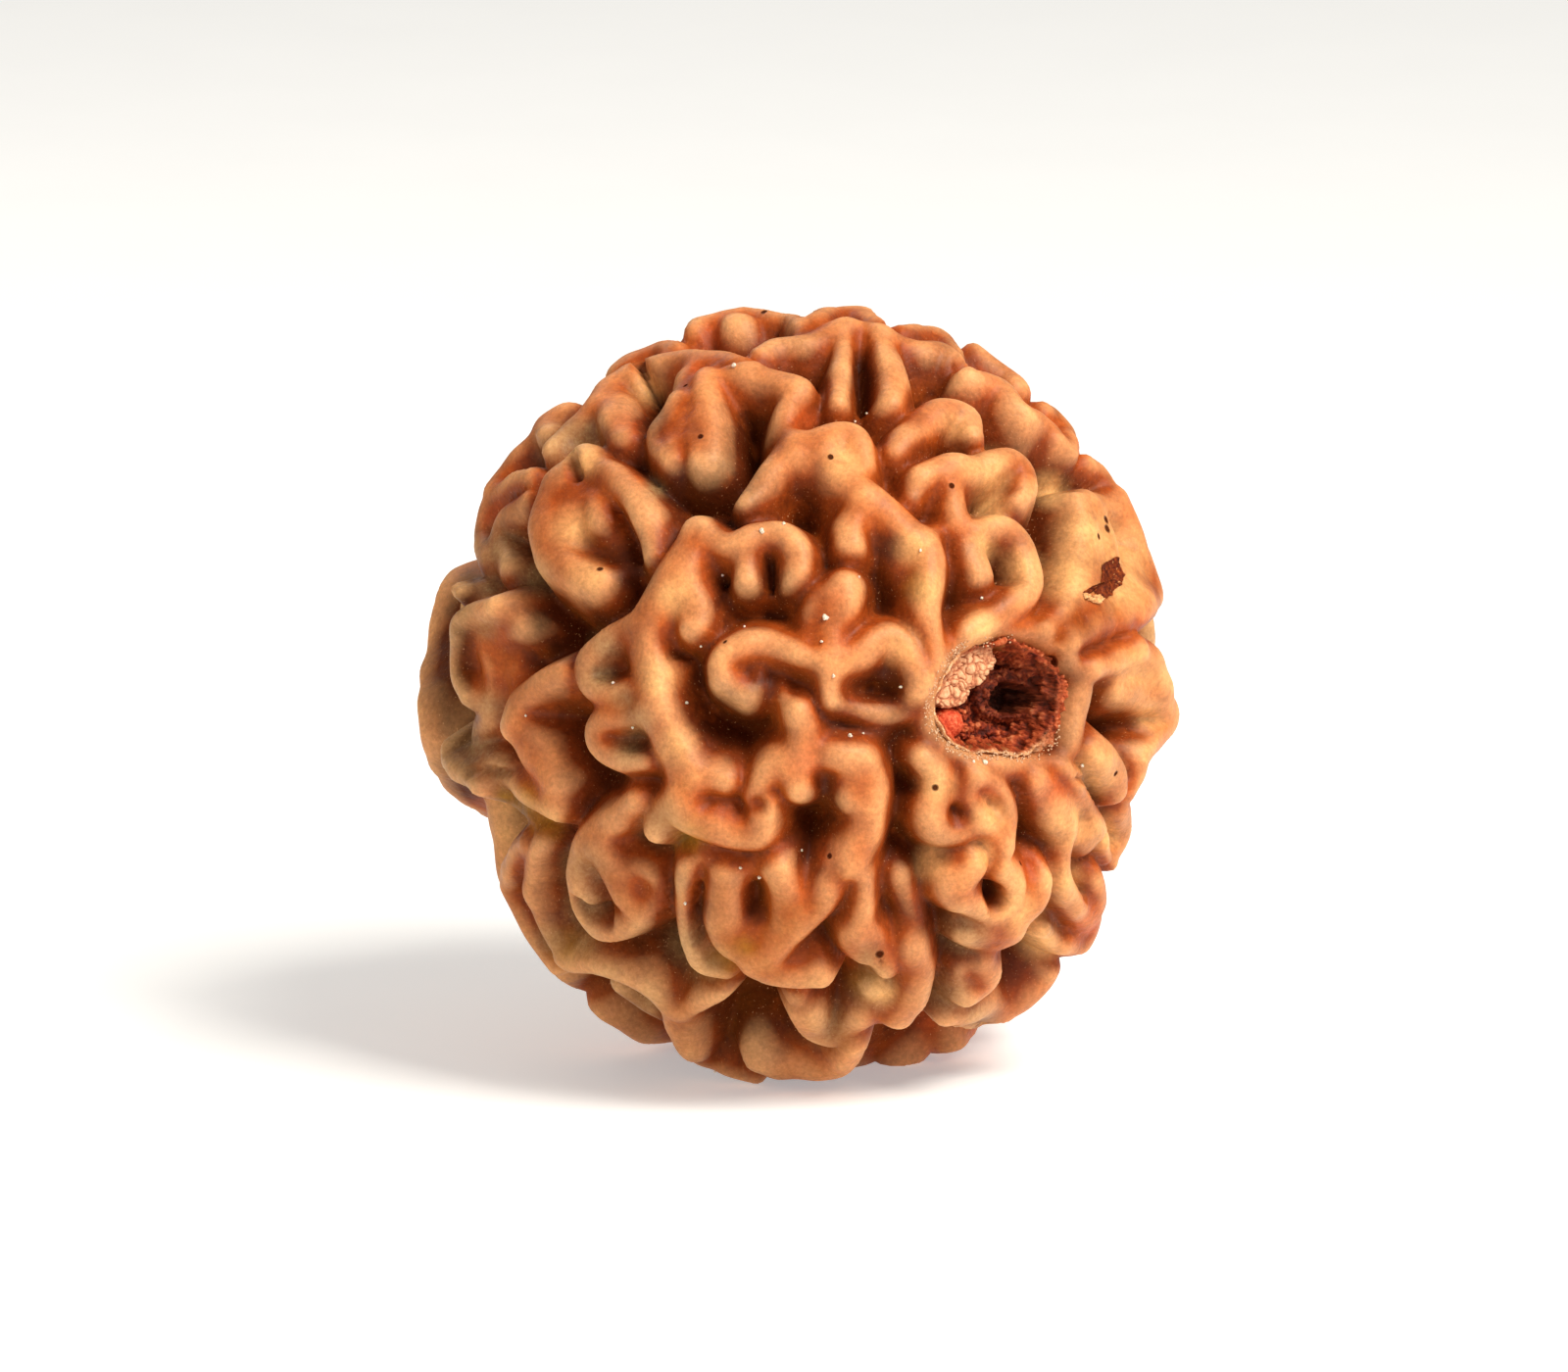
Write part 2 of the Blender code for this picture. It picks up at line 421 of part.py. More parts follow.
# Dimples, pits and slits: depth, then (x, y, half width).
HOLLOWS = {
    "brow_pit": (0.07, ((660, 386, 8), (668, 402, 12), (676, 420, 10))),
    "tongue_groove": (0.04, ((760, 420, 11), (763, 450, 14), (766, 485, 12))),
    "brow_crease": (0.015, ((738, 390, 6), (760, 387, 6), (788, 381, 6))),
    "crown_pit": (0.05, ((878, 370, 12), (880, 390, 13), (884, 410, 11))),
    "crown_pit_right": (0.04, ((958, 390, 12), (974, 388, 13))),
    "crown_hole": (0.05, ((796, 340, 7),)),
    "arch_pit": (0.05, ((966, 458, 9), (982, 458, 9))),
    "curl_hole": (0.03, ((1032, 459, 6),)),
    "curl_pit": (0.035, ((1002, 512, 12), (1022, 507, 12))),
    "curl_pit_low": (0.03, ((1018, 586, 12), (1026, 594, 12))),
    "bridge_pit": (0.03, ((936, 530, 7),)),
    "mouth_pore": (0.03, ((1075, 672, 9),)),
    "right_slit": (0.02, ((1128, 530, 5), (1129, 541, 5))),
    "right_slit_edge": (0.02, ((1166, 556, 5), (1167, 564, 5))),
    "ear_notch": (0.045, ((599, 481, 10), (600, 495, 11))),
    "ear_groove": (0.035, ((634, 522, 9), (646, 542, 12), (652, 566, 12))),
    "left_dimple": (0.02, ((503, 648, 7),)),
    "left_slit": (0.015, ((518, 741, 5), (518, 750, 5))),
    "left_pocket": (0.03, ((510, 781, 8), (530, 786, 7))),
    "face_pit": (0.03, ((690, 668, 9), (704, 668, 7))),
    "face_hole": (0.04, ((738, 592, 9),)),
    "face_groove": (0.04, ((786, 572, 7), (786, 598, 9))),
    "hook_pit": (0.025, ((786, 690, 12), (792, 704, 12))),
    "chin_dimple": (0.022, ((726, 812, 14),)),
    "chin_hole": (0.035, ((778, 813, 14),)),
    "wing_pit": (0.03, ((892, 702, 12), (908, 704, 12))),
    "inner_dimple": (0.022, ((968, 824, 15),)),
    "inner_slot": (0.03, ((922, 784, 11), (928, 802, 11))),
    "loop_dimple": (0.02, ((1004, 816, 15),)),
    "sheet_hollow": (0.022, ((1110, 850, 14),)),
    "knob_dimple": (0.03, ((1045, 880, 12),)),
    "rim_hollow": (0.055, ((1142, 750, 13), (1158, 745, 12))),
    "egg_groove": (0.03, ((1090, 790, 6), (1104, 799, 6), (1118, 820, 6))),
    "notch": (0.05, ((603, 906, 11), (614, 919, 13), (630, 928, 12))),
    "notch_upper": (0.04, ((655, 858, 10), (670, 866, 10))),
    "fold_slit": (0.03, ((596, 966, 5), (610, 966, 5))),
    "bag_slot": (0.04, ((716, 900, 8), (713, 930, 9), (716, 952, 8))),
    "bag_notch": (0.035, ((767, 904, 10), (769, 920, 10))),
    "stalk_pit": (0.015, ((897, 972, 4),)),
    "nose_dot": (0.015, ((919, 1044, 4),)),
    "ring_hole": (0.10, ((1002, 899, 14), (1005, 907, 14))),
    "drape_slot": (0.05, ((1096, 896, 6), (1098, 908, 6))),
    "rim_slot": (0.04, ((996, 1038, 6), (1008, 1035, 7), (1016, 1038, 6))),
}


def unit(points):
    return points / np.linalg.norm(points, axis=1, keepdims=True)


def around(angle, table):
    """Value at an angle in degrees, eased between the table's angles, all the way round."""
    angles = np.array([row[0] for row in table] + [table[0][0] + 360.0])
    values = np.array([row[1] for row in table] + [table[0][1]])
    angle = np.mod(angle - angles[0], 360.0) + angles[0]
    after = np.clip(np.searchsorted(angles, angle, side="right"), 1, len(angles) - 1)
    share = (angle - angles[after - 1]) / (angles[after] - angles[after - 1])
    eased = share * share * (3 - 2 * share)
    return values[after - 1] * (1 - eased) + values[after] * eased


def limb_share(directions):
    """How far the egg shape is stretched: fully at the limb, not at all towards the viewer."""
    turn = np.degrees(np.arctan2(directions[:, 1], directions[:, 0]))
    from_axis = directions[:, 0] ** 2 + directions[:, 1] ** 2
    return 1 + (around(turn, LIMB_SHARES) - 1) * from_axis**2


def body_radius(directions):
    """Radius of the smooth body in millimetres along unit directions: right, up, to the viewer."""
    egg = directions / np.array([HALF_WIDTH, HALF_HEIGHT, HALF_DEPTH])
    return limb_share(directions) / np.linalg.norm(egg, axis=1)


def on_body(x, y, height=1.0, side=1):
    """Points of the smooth body under pixels of the photograph: side 1 faces the viewer, -1 is behind."""
    right = (np.asarray(x, float) - MIDDLE_X) / PIXELS_PER_MM
    up = (MIDDLE_Y - np.asarray(y, float)) / PIXELS_PER_MM
    forward = np.zeros_like(right)
    for _ in range(4):
        directions = unit(np.stack([right, up, forward], axis=1))
        reach = height * limb_share(directions)
        left_over = reach**2 - (right / HALF_WIDTH) ** 2 - (up / HALF_HEIGHT) ** 2
        forward = side * np.maximum(HALF_DEPTH * np.sqrt(np.maximum(left_over, 0)), LIMB_DEPTH)
    directions = unit(np.stack([right, up, forward], axis=1))
    return directions * body_radius(directions)[:, None]


def crest_samples(points, height, side=1):
    """Closely spaced points under a curve through the given points, with half widths.

    The points follow the middle of the ridge as the photograph shows it, one half width under its crest.
    """
    knots = np.array(points if len(points) > 1 else points * 2, float)
    padded = np.vstack([2 * knots[0] - knots[1], knots, 2 * knots[-1] - knots[-2]])
    rows = []
    for a, b, c, d in zip(padded, padded[1:], padded[2:], padded[3:], strict=False):
        length = np.linalg.norm(c[:2] - b[:2]) / PIXELS_PER_MM
        t = np.linspace(0, 1, max(int(length / SAMPLE_STEP), 1), endpoint=False)[:, None]
        rows.append(b + 0.5 * t * (c - a + t * (2 * a - 5 * b + 4 * c - d + t * (3 * (b - c) + d - a))))
    rows.append(knots[-1:])
    curve = np.vstack(rows)
    half_widths = curve[:, 2] / PIXELS_PER_MM
    depth = np.minimum(half_widths, DEEPEST_CORE) / HEIGHT_UNIT
    return on_body(curve[:, 0], curve[:, 1], height - depth, side), half_widths


def crest_drop(distance, half_width):
    """How far the skin lies below a crest, in millimetres: a round top that turns into a straight flank."""
    radius = half_width * TOP_ROUNDNESS
    edge = radius * FLANK_SLOPE / math.hypot(1, FLANK_SLOPE)
    inner = np.minimum(distance, edge)
    return radius - np.sqrt(radius**2 - inner**2) + FLANK_SLOPE * (distance - inner)


def near(points, samples, reach):
    middle = (samples.min(axis=0) + samples.max(axis=0)) / 2
    size = np.linalg.norm(samples - middle, axis=1).max() + reach
    return np.flatnonzero(((points - middle) ** 2).sum(axis=1) < size * size)


def distances(points, samples):
    apart = (points**2).sum(axis=1)[:, None] + (samples**2).sum(axis=1) - 2 * points @ samples.T
    return np.sqrt(np.maximum(apart, 0))


def ridge_heights(points, samples, half_widths, height):
    """Height of one ridge at each point: the highest that any stretch of its crest gives."""
    drops = crest_drop(distances(points, samples), half_widths)
    return height - drops.min(axis=1) / HEIGHT_UNIT


def hollow_depths(points, samples, half_widths, depth):
    share = np.minimum(distances(points, samples) / half_widths, 1).min(axis=1)
    return depth * (1 - share**2) ** 2


def ripple(points, wavelength, seed):
    """Smooth, seeded unevenness between about -1 and 1."""
    dice = np.random.default_rng(seed)
    total = np.zeros(len(points))
    for _ in range(14):
        direction = unit(dice.normal(size=(1, 3)))[0]
        length = wavelength * dice.uniform(0.7, 1.5)
        total += np.sin(points @ direction * (2 * math.pi / length) + dice.uniform(0, 2 * math.pi))
    return total / 3.2


def sampled(table, side=1):
    """Each lobe of a table as a list of its ridges: height, sample points and their half widths."""
    return [
        [(height, *crest_samples(points, height, side)) for height, points in lobe.values()]
        for lobe in table.values()
    ]


def sampled_hollows():
    return [(depth, *crest_samples(points, HOLLOW_LEVEL)) for depth, points in HOLLOWS.values()]


def lobe_heights(points, lobe):
    """Height of one lobe: its ridges run into each other with wide fillets."""
    total = np.zeros(len(points))
    for height, samples, half_widths in lobe:
        found = near(points, samples, REACH + half_widths.max())
        if len(found):
            heights = ridge_heights(points[found], samples, half_widths, height)
            total[found] += np.exp(LOBE_JOIN * heights)
    return np.log(np.maximum(total, 1e-9)) / LOBE_JOIN


def pile_up(total, points, lobes, crest_limit, drop):
    """Adds each lobe, lowered by the drop, to the running sum that joins them all with tight creases."""
    for lobe in lobes:
        samples = np.vstack([row[1] for row in lobe])
        found = near(points, samples, REACH + max(row[2].max() for row in lobe))
        if not len(found):
            continue
        heights = lobe_heights(points[found], lobe)
        limit = np.exp(-LIMIT_JOIN * heights) + math.exp(-LIMIT_JOIN * crest_limit)
        heights = -np.log(limit) / LIMIT_JOIN - drop[found]
        total[found] += np.exp(JOIN_SHARPNESS * heights)


def spot_distance(points, middle):
    """Distance sideways and upwards from a spot of the body, in the plane that touches it there."""
    across = unit(np.cross([[0, 1, 0]], [middle]))[0]
    above = unit(np.cross([middle], [across]))[0]
    return (points - middle) @ across, (points - middle) @ above


def mouth_height(points):
    """Ceiling of the skin in the mouth: a steep wall below the rim, a floor, and a well in the floor."""
    rim_middle = on_body([MOUTH[0]], [MOUTH[1]], MOUTH_RIM_HEIGHT)[0]
    right, up = spot_distance(points, rim_middle)
    share = np.hypot(right, up) * PIXELS_PER_MM / around(np.degrees(np.arctan2(up, right)), MOUTH_OUTLINE)
    wall = np.clip((share - 1 + MOUTH_WALL_SHARE) / MOUTH_WALL_SHARE, 0, 1)
    well_middle = on_body([WELL[0]], [WELL[1]], MOUTH_FLOOR_HEIGHT)[0]
    from_well = np.hypot(*spot_distance(points, well_middle))
    floor = np.clip((from_well - WELL_RADIUS) / WELL_WALL, 0, 1)
    floor_height = WELL_FLOOR_HEIGHT + (MOUTH_FLOOR_HEIGHT - WELL_FLOOR_HEIGHT) * floor
    wall_height = floor_height + (MOUTH_RIM_HEIGHT - floor_height) * wall
    outside = (share > 1) | (points @ rim_middle < 0)
    return np.where(outside, 2.0, wall_height)


class Stone:
    """The skin's height in every direction from the middle of the stone."""

    def __init__(self):
        self.lobes = sampled(RIDGES) + sampled(BEHIND, -1)
        self.trunk = sampled(TRUNK_FRONT) + sampled(TRUNK_BEHIND, -1)
        self.hollows = sampled_hollows()

    def floor(self, points):
        amount, wavelength, seed = FLOOR_RIPPLE
        return FLOOR_HEIGHT + amount * ripple(points, wavelength, seed)

    def hidden_drop(self, directions, variety):
        """How much lower the hidden side's ridges stand, to stay inside the outline in the photograph."""
        behind = -directions[:, 2]
        ceiling = HIDDEN_CEILING + np.where(behind > 0, HIDDEN_CLIMB, HIDDEN_FALL) * behind
        return CREST_LIMIT - np.minimum(ceiling, HIDDEN_CREST + HIDDEN_VARIETY * variety)

    def heights(self, directions):
        points = directions * body_radius(directions)[:, None]
        bend = np.stack([ripple(points, BEND_WAVE, seed) for seed in BEND_SEEDS], axis=1)
        shown = points + SHOWN_BEND * bend
        opposite = HIDDEN_BEND * bend - points
        drop = self.hidden_drop(directions, bend[:, 0])
        level = np.zeros(len(points))
        total = np.exp(JOIN_SHARPNESS * self.floor(points))
        pile_up(total, shown, self.lobes, CREST_LIMIT, level)
        pile_up(total, shown, self.trunk, TRUNK_LIMIT, level)
        pile_up(total, opposite, self.lobes, CREST_LIMIT, drop)
        pile_up(total, opposite, self.trunk, CREST_LIMIT, drop + HIDDEN_TRUNK_DROP)
        heights = np.log(total) / JOIN_SHARPNESS
        for depth, samples, half_widths in self.hollows:
            for side in (points, opposite):
                found = near(side, samples, half_widths.max())
                if len(found):
                    heights[found] -= hollow_depths(side[found], samples, half_widths, depth)
        opening = mouth_height(points)
        for amount, wavelength, seed in SKIN_RIPPLES:
            heights += amount * ripple(points, wavelength, seed)
        return np.minimum(heights, opening)

    def skin(self, directions):
        """Points of the skin in millimetres, filled out round the spot that the stone rests on."""
        radius = body_radius(directions) * self.heights(directions)
        downward = -directions[:, 1] * math.cos(VIEW_ELEVATION) - directions[:, 2] * math.sin(VIEW_ELEVATION)
        downward = np.maximum(downward, UNDERSIDE / 2)
        from_spot = REST_HEIGHT * np.sqrt(np.maximum(1 / downward**2 - 1, 0))
        foot = (REST_HEIGHT + FOOT_DEPTH) / downward - FOOT_SLOPE * np.maximum(from_spot - FOOT_RADIUS, 0)
        radius = np.where(downward > UNDERSIDE, np.maximum(radius, foot), radius)
        return directions * radius[:, None]


def start_sphere(grid):
    """Unit directions on a six-sided grid, and its quads facing out."""
    steps = np.tan(np.linspace(-math.pi / 4, math.pi / 4, grid + 1))
    index = {}
    directions = []
    quads = []
    for axis in range(3):
        for sign in (1, -1):
            ids = np.empty((grid + 1, grid + 1), int)
            for i in range(grid + 1):
                for j in range(grid + 1):
                    corner = [0.0, 0.0, 0.0]
                    corner[axis] = float(sign)
                    corner[(axis + 1) % 3] = steps[i] * sign
                    corner[(axis + 2) % 3] = steps[j]
                    key = tuple(round(value, 6) for value in corner)
                    if key not in index:
                        index[key] = len(directions)
                        directions.append(corner)
                    ids[i, j] = index[key]
            for i in range(grid):
                for j in range(grid):
                    quads.append((ids[i, j], ids[i + 1, j], ids[i + 1, j + 1], ids[i, j + 1]))
    return unit(np.array(directions)), np.array(quads)


def relaxed(stone, directions, quads, rounds):
    """Evens out the spacing on the steep flanks, then gives the skin's points."""
    ends = np.concatenate([quads[:, [0, 1]], quads[:, [1, 2]], quads[:, [2, 3]], quads[:, [3, 0]]])
    ends = np.concatenate([ends, ends[:, ::-1]])
    count = np.bincount(ends[:, 0], minlength=len(directions))[:, None]
    points = stone.skin(directions)
    for _ in range(rounds):
        total = np.zeros_like(points)
        for axis in range(3):
            total[:, axis] = np.bincount(ends[:, 0], weights=points[ends[:, 1], axis], minlength=len(points))
        directions = unit(RELAX_HOLD * points + (1 - RELAX_HOLD) * total / count)
        points = stone.skin(directions)
    return points


def upright(points):
    """From the photograph's right, up, towards-viewer axes to X right, Y away, Z up."""
    right, up, forward = points.T
    sine, cosine = math.sin(VIEW_ELEVATION), math.cos(VIEW_ELEVATION)
    return np.stack([right, up * sine - forward * cosine, up * cosine + forward * sine], axis=1)


def shell_material():
    """Dry, matt orange-brown shell."""
    material = bpy.data.materials.new("seed_shell")
    material.use_nodes = True
    shader = material.node_tree.nodes["Principled BSDF"]
    shader.inputs["Base Color"].default_value = (0.50, 0.20, 0.075, 1)
    shader.inputs["Roughness"].default_value = 0.62
    shader.inputs["Metallic"].default_value = 0.0
    return material


def bead_mesh(grid, rounds):
    directions, quads = start_sphere(grid)
    points = upright(relaxed(Stone(), directions, quads, rounds))
    points += BODY_MIDDLE
    mesh = bpy.data.meshes.new(NODE)
    mesh.from_pydata((points * MM).tolist(), [], quads.tolist())
    mesh.shade_smooth()
    return mesh


def thin_out(bead, triangles):
    """Keeps the triangles where the skin bends most."""
    fewer = bead.modifiers.new("fewer_faces", "DECIMATE")
    fewer.decimate_type = "COLLAPSE"
    fewer.ratio = triangles / (2 * len(bead.data.polygons))


def cut_flat(bead):
    """Cuts the underside level with the ground, so that the bead stands still."""
    mesh = bpy.data.meshes.new("ground_block")
    block = bmesh.new()
    bmesh.ops.create_cube(block, size=1.0)
    bmesh.ops.scale(block, vec=Vector(GROUND_BLOCK) * MM, verts=block.verts)
    bmesh.ops.translate(block, vec=Vector((0, 0, -GROUND_BLOCK[2] / 2)) * MM, verts=block.verts)
    block.to_mesh(mesh)
    block.free()
    ground = bpy.data.objects.new("ground_block", mesh)
    ground.hide_render = True
    ground.display_type = "WIRE"
    bpy.context.scene.collection.objects.link(ground)
    cut = bead.modifiers.new("flat_spot", "BOOLEAN")
    cut.operation = "DIFFERENCE"
    cut.solver = "EXACT"
    cut.object = ground


def clear_scene():
    for old in list(bpy.data.objects):
        bpy.data.objects.remove(old, do_unlink=True)


def main():
    clear_scene()
    mesh = bead_mesh(GRID, RELAX_ROUNDS)
    mesh.materials.append(shell_material())
    bead = bpy.data.objects.new(NODE, mesh)
    bpy.context.scene.collection.objects.link(bead)
    thin_out(bead, TRIANGLES)
    cut_flat(bead)


if __name__ == "__main__":
    main()
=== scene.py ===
"""Looks of the ganesh rudraksha: its skin finely meshed over the solid, its mouth, its colours and its light.

The skin is one closed surface seen from the middle of the stone: a smooth egg-shaped body with
ridges that stand at its full height, furrows, dimples, the open mouth and the trunk-like lump.
"""

import math

import bmesh
import bpy
import numpy as np
from mathutils import Matrix, Vector, noise


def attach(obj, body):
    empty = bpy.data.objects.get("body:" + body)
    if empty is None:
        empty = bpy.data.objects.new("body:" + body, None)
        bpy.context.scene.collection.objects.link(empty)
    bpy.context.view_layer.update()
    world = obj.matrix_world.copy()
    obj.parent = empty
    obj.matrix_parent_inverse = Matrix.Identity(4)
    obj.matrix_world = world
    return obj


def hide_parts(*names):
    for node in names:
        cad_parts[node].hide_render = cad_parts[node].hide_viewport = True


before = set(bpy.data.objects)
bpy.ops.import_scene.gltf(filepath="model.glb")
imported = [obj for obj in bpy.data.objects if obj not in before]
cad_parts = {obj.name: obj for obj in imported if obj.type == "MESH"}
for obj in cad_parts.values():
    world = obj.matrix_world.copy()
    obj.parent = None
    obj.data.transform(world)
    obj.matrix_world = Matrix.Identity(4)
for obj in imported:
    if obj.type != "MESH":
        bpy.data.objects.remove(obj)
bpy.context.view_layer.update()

NODE = "rudraksha_bead"
MM = 0.001

# The photograph's frame in pixels, and the camera's lens, sensor and far limit in millimetres and metres.
PHOTO_WIDTH = 1600
PHOTO_HEIGHT = 1400
CAMERA_LENS = 1000
CAMERA_SENSOR = 36
CAMERA_FAR = 10

# Soft square lights: name, place and size in millimetres, watts, colour.
LAMPS = (
    ("key", (108, -92, 175), 110, 0.68, (0.975, 0.95, 0.875)),
    ("fill", (-150, -110, 60), 120, 0.07, (1.0, 0.90, 0.78)),
    ("rim", (-60, 120, 120), 80, 0.04, (1.0, 0.95, 0.9)),
)
SURROUND_COLOUR = (1.0, 0.95, 0.87, 1)
SURROUND_STRENGTH = 0.28
FLOOR_RADIUS = 0.7
FLOOR_GLOW = (0.94, 0.97, 1, 1)
FLOOR_GLOW_STRENGTH = 0.34

# Driving sizes of the smooth body, in millimetres, and the photograph's view of it.
HALF_WIDTH = 11.4
HALF_HEIGHT = 12.5
HALF_DEPTH = 11.8
REST_HEIGHT = 11.95
VIEW_ELEVATION = math.radians(12)

# Where the middle of the body stands, so that the whole stone is centred over the origin.
BODY_MIDDLE = (0.615, 0.16, REST_HEIGHT)

# The photograph shows 32 pixels to the millimetre, with the middle of the stone at this pixel.
PIXELS_PER_MM = 32
MIDDLE_X = 835
MIDDLE_Y = 705

# Heights are shares of the smooth body's radius, and one unit of height is this many millimetres.
HEIGHT_UNIT = 12.5
FLOOR_HEIGHT = 0.80

# Ridges of one lobe run together softly, lobes meet in tight creases, and crests stop at a ceiling.
LOBE_JOIN = 45
JOIN_SHARPNESS = 120
LIMIT_JOIN = 140
CREST_LIMIT = 1.022
TRUNK_LIMIT = 1.16

# The hidden side: its ceiling at the outline, the ceiling's climb behind it and its fall in front of it,
# the tallest crests and how much they vary, and how much lower the repeated trunk is.
HIDDEN_CEILING = 0.972
HIDDEN_CLIMB = 0.16
HIDDEN_FALL = 1.6
HIDDEN_CREST = 1.012
HIDDEN_VARIETY = 0.02
HIDDEN_TRUNK_DROP = 0.11

# Unevenness: (amount, wavelength in millimetres, seed). The first two bend the ridges sideways.
SHOWN_BEND = 0.04
HIDDEN_BEND = 0.45
BEND_WAVE = 7.0
BEND_SEEDS = (11, 12, 13)
FLOOR_RIPPLE = (0.012, 5.0, 3)
SKIN_RIPPLES = ((0.004, 1.6, 21), (0.006, 3.4, 22))
RIPPLE_WAVES = 14
RIPPLE_SIZE = 3.2

# A ridge's cross-section: a round top, as a share of its half width, then a straight flank.
TOP_ROUNDNESS = 0.93
FLANK_SLOPE = 2.05

# Millimetres: how deep a ridge's middle lies, the spacing of points along it, and how far it reaches.
DEEPEST_CORE = 0.8
SAMPLE_STEP = 0.09
REACH = 2.2

# Millimetres: points past the egg shape's outline stand this far in front of it or behind it.
LIMB_DEPTH = 1.6

# The height at which the hollows' places are read.
HOLLOW_LEVEL = 0.97

# The mouth: its outline as radius in pixels by direction, its floor, and the well in it.
MOUTH = (1020, 713)
MOUTH_OUTLINE = (
    (0, 75), (12, 80), (30, 70), (50, 64), (75, 61), (102, 58), (128, 66), (156, 71), (180, 78),
    (200, 78), (215, 74), (235, 66), (255, 58), (275, 56), (295, 64), (310, 72), (335, 71),
)
MOUTH_RIM_HEIGHT = 0.945
MOUTH_FLOOR_HEIGHT = 0.785
MOUTH_WALL_SHARE = 0.14
WELL = (1022, 711)
WELL_RADIUS = 0.55
WELL_FLOOR_HEIGHT = 0.69
WELL_WALL = 0.25

# The flat spot that the stone rests on: its radius and how far the skin reaches past it before the cut.
FOOT_RADIUS = 1.7
FOOT_DEPTH = 0.3
FOOT_SLOPE = 1.1

# Directions that point down by more than this share belong to the underside.
UNDERSIDE = 0.5

# Meshing of the skin: quads along a side of the start shape, rounds of evening out after each halving,
# how much a point holds its place in a round, and rounds of smoothing for the broad height and the bend.
START_GRID = 31
EVENING_ROUNDS = (8, 3, 2)
RELAX_HOLD = 0.35
SMOOTHING_ROUNDS = 44
CREST_ROUNDS = 13

# Left of the first, in millimetres, the trunk shows its front as far back as the second.
TRUNK_START = -10.6
TRUNK_FRONT_DEPTH = -4.0

# Millimetres: how far the marks of the shown and the hidden side blend, and how much their border wanders.
BORDER_BLEND = 1.6
BORDER_WANDER = 0.8

# The trunk's skin gets painted shade, a lower level and a darker tint, past these spans of millimetres to the
# left and to the viewer.
TRUNK_SHADE = 0.13
TRUNK_SHADE_TINT = 0.7
TRUNK_SPAN = (10.6, 11.3)
TRUNK_DEPTHS = (-6.0, -3.0)

# Painted shade lies on skin that faces left or down, away from the key light, and the skin is darker low at
# the left. Spans are in millimetres, down and left.
SHADE_FACING_LEFT = 0.7
SHADE_FACING_DOWN = 0.55
LOW_DARKENING = 0.7
LOW_SPAN = (3.0, 10.0)
LOW_LEFT_SPAN = (-7.5, 2.5)
OCHRE_GRIME = 0.85

# A mark fades out at this many times its radius.
MARK_REACH = 1.5

# Marks on the skin, in the photograph's pixels: (x, y, radius).
MARKS = {
    "red": (
        (710, 378, 15), (820, 428, 14), (860, 605, 15), (820, 775, 16), (518, 745, 9), (1070, 815, 22),
        (1040, 935, 13), (1110, 943, 12), (735, 340, 22), (585, 530, 14), (500, 530, 20), (880, 970, 22),
        (846, 870, 16), (960, 790, 14), (1010, 810, 16), (1048, 880, 16), (1160, 700, 18),
        (770, 655, 16), (920, 665, 16), (970, 425, 22), (1000, 390, 18), (640, 430, 16), (505, 520, 14),
    ),
    "yellow": (
        (538, 820, 20), (560, 843, 17), (705, 852, 18), (582, 970, 22), (735, 980, 18), (515, 812, 12),
        (884, 1000, 16), (940, 600, 18), (760, 965, 12),
    ),
    "pale": (
        (1112, 545, 34), (1150, 565, 26), (1090, 590, 26), (1148, 600, 24), (1160, 690, 26), (1176, 730, 20),
        (1120, 785, 24), (1090, 840, 26), (1010, 485, 22), (1040, 580, 20), (1000, 560, 16), (1000, 640, 16),
        (860, 470, 22), (930, 560, 18), (585, 540, 22), (600, 590, 18), (690, 610, 20), (672, 690, 20),
        (690, 760, 20), (920, 660, 20), (955, 800, 18), (600, 470, 16), (975, 435, 16), (660, 395, 18),
        (1040, 930, 22), (900, 1010, 14), (1060, 960, 20), (1010, 830, 18), (1085, 900, 20), (1130, 850, 20),
        (1000, 870, 14), (950, 880, 18), (1190, 690, 16), (1180, 800, 16), (1070, 500, 18), (1010, 520, 18),
    ),
    "film": (
        (512, 560, 26), (500, 600, 16), (496, 640, 14), (500, 722, 20), (486, 762, 26), (510, 788, 20),
        (572, 452, 26), (600, 444, 20), (652, 735, 18), (636, 712, 14), (610, 690, 18), (676, 838, 24),
        (596, 885, 24), (598, 925, 22), (560, 960, 20), (600, 960, 16), (702, 960, 22), (722, 985, 20),
        (850, 1048, 26), (890, 1010, 24), (885, 975, 14), (985, 950, 24), (968, 1015, 24), (1000, 1042, 20),
        (620, 1000, 24), (660, 1020, 22), (668, 500, 12), (548, 590, 20), (618, 660, 16), (640, 770, 16),
    ),
    # Painted shade: dark spots where shade falls in furrows, pits and on the trunk's flank.
    "dark": (
        (740, 505, 40), (700, 500, 24), (650, 580, 26), (665, 425, 18), (765, 450, 20), (880, 390, 14),
        (735, 720, 30), (750, 620, 26), (790, 600, 20), (780, 700, 16), (846, 820, 22), (830, 870, 26),
        (690, 900, 14), (716, 925, 10), (770, 930, 12), (760, 1030, 30), (700, 975, 20), (660, 960, 22),
        (560, 640, 20), (580, 660, 18), (520, 830, 24), (620, 690, 14), (650, 760, 14), (470, 650, 14),
        (462, 660, 18), (460, 694, 20), (461, 726, 20), (468, 750, 16), (453, 780, 18), (470, 620, 16),
        (488, 606, 12), (472, 800, 18), (478, 592, 11), (1160, 748, 14), (906, 700, 18), (1002, 903, 10),
        (920, 795, 14), (905, 560, 16),
    ),
}
OCHRE_STAINS = (
    (1100, 573, 13), (1060, 637, 12), (1104, 636, 20), (1084, 652, 15), (1128, 622, 12), (1150, 612, 10),
    (1140, 722, 16), (1120, 706, 12), (1040, 600, 10),
)
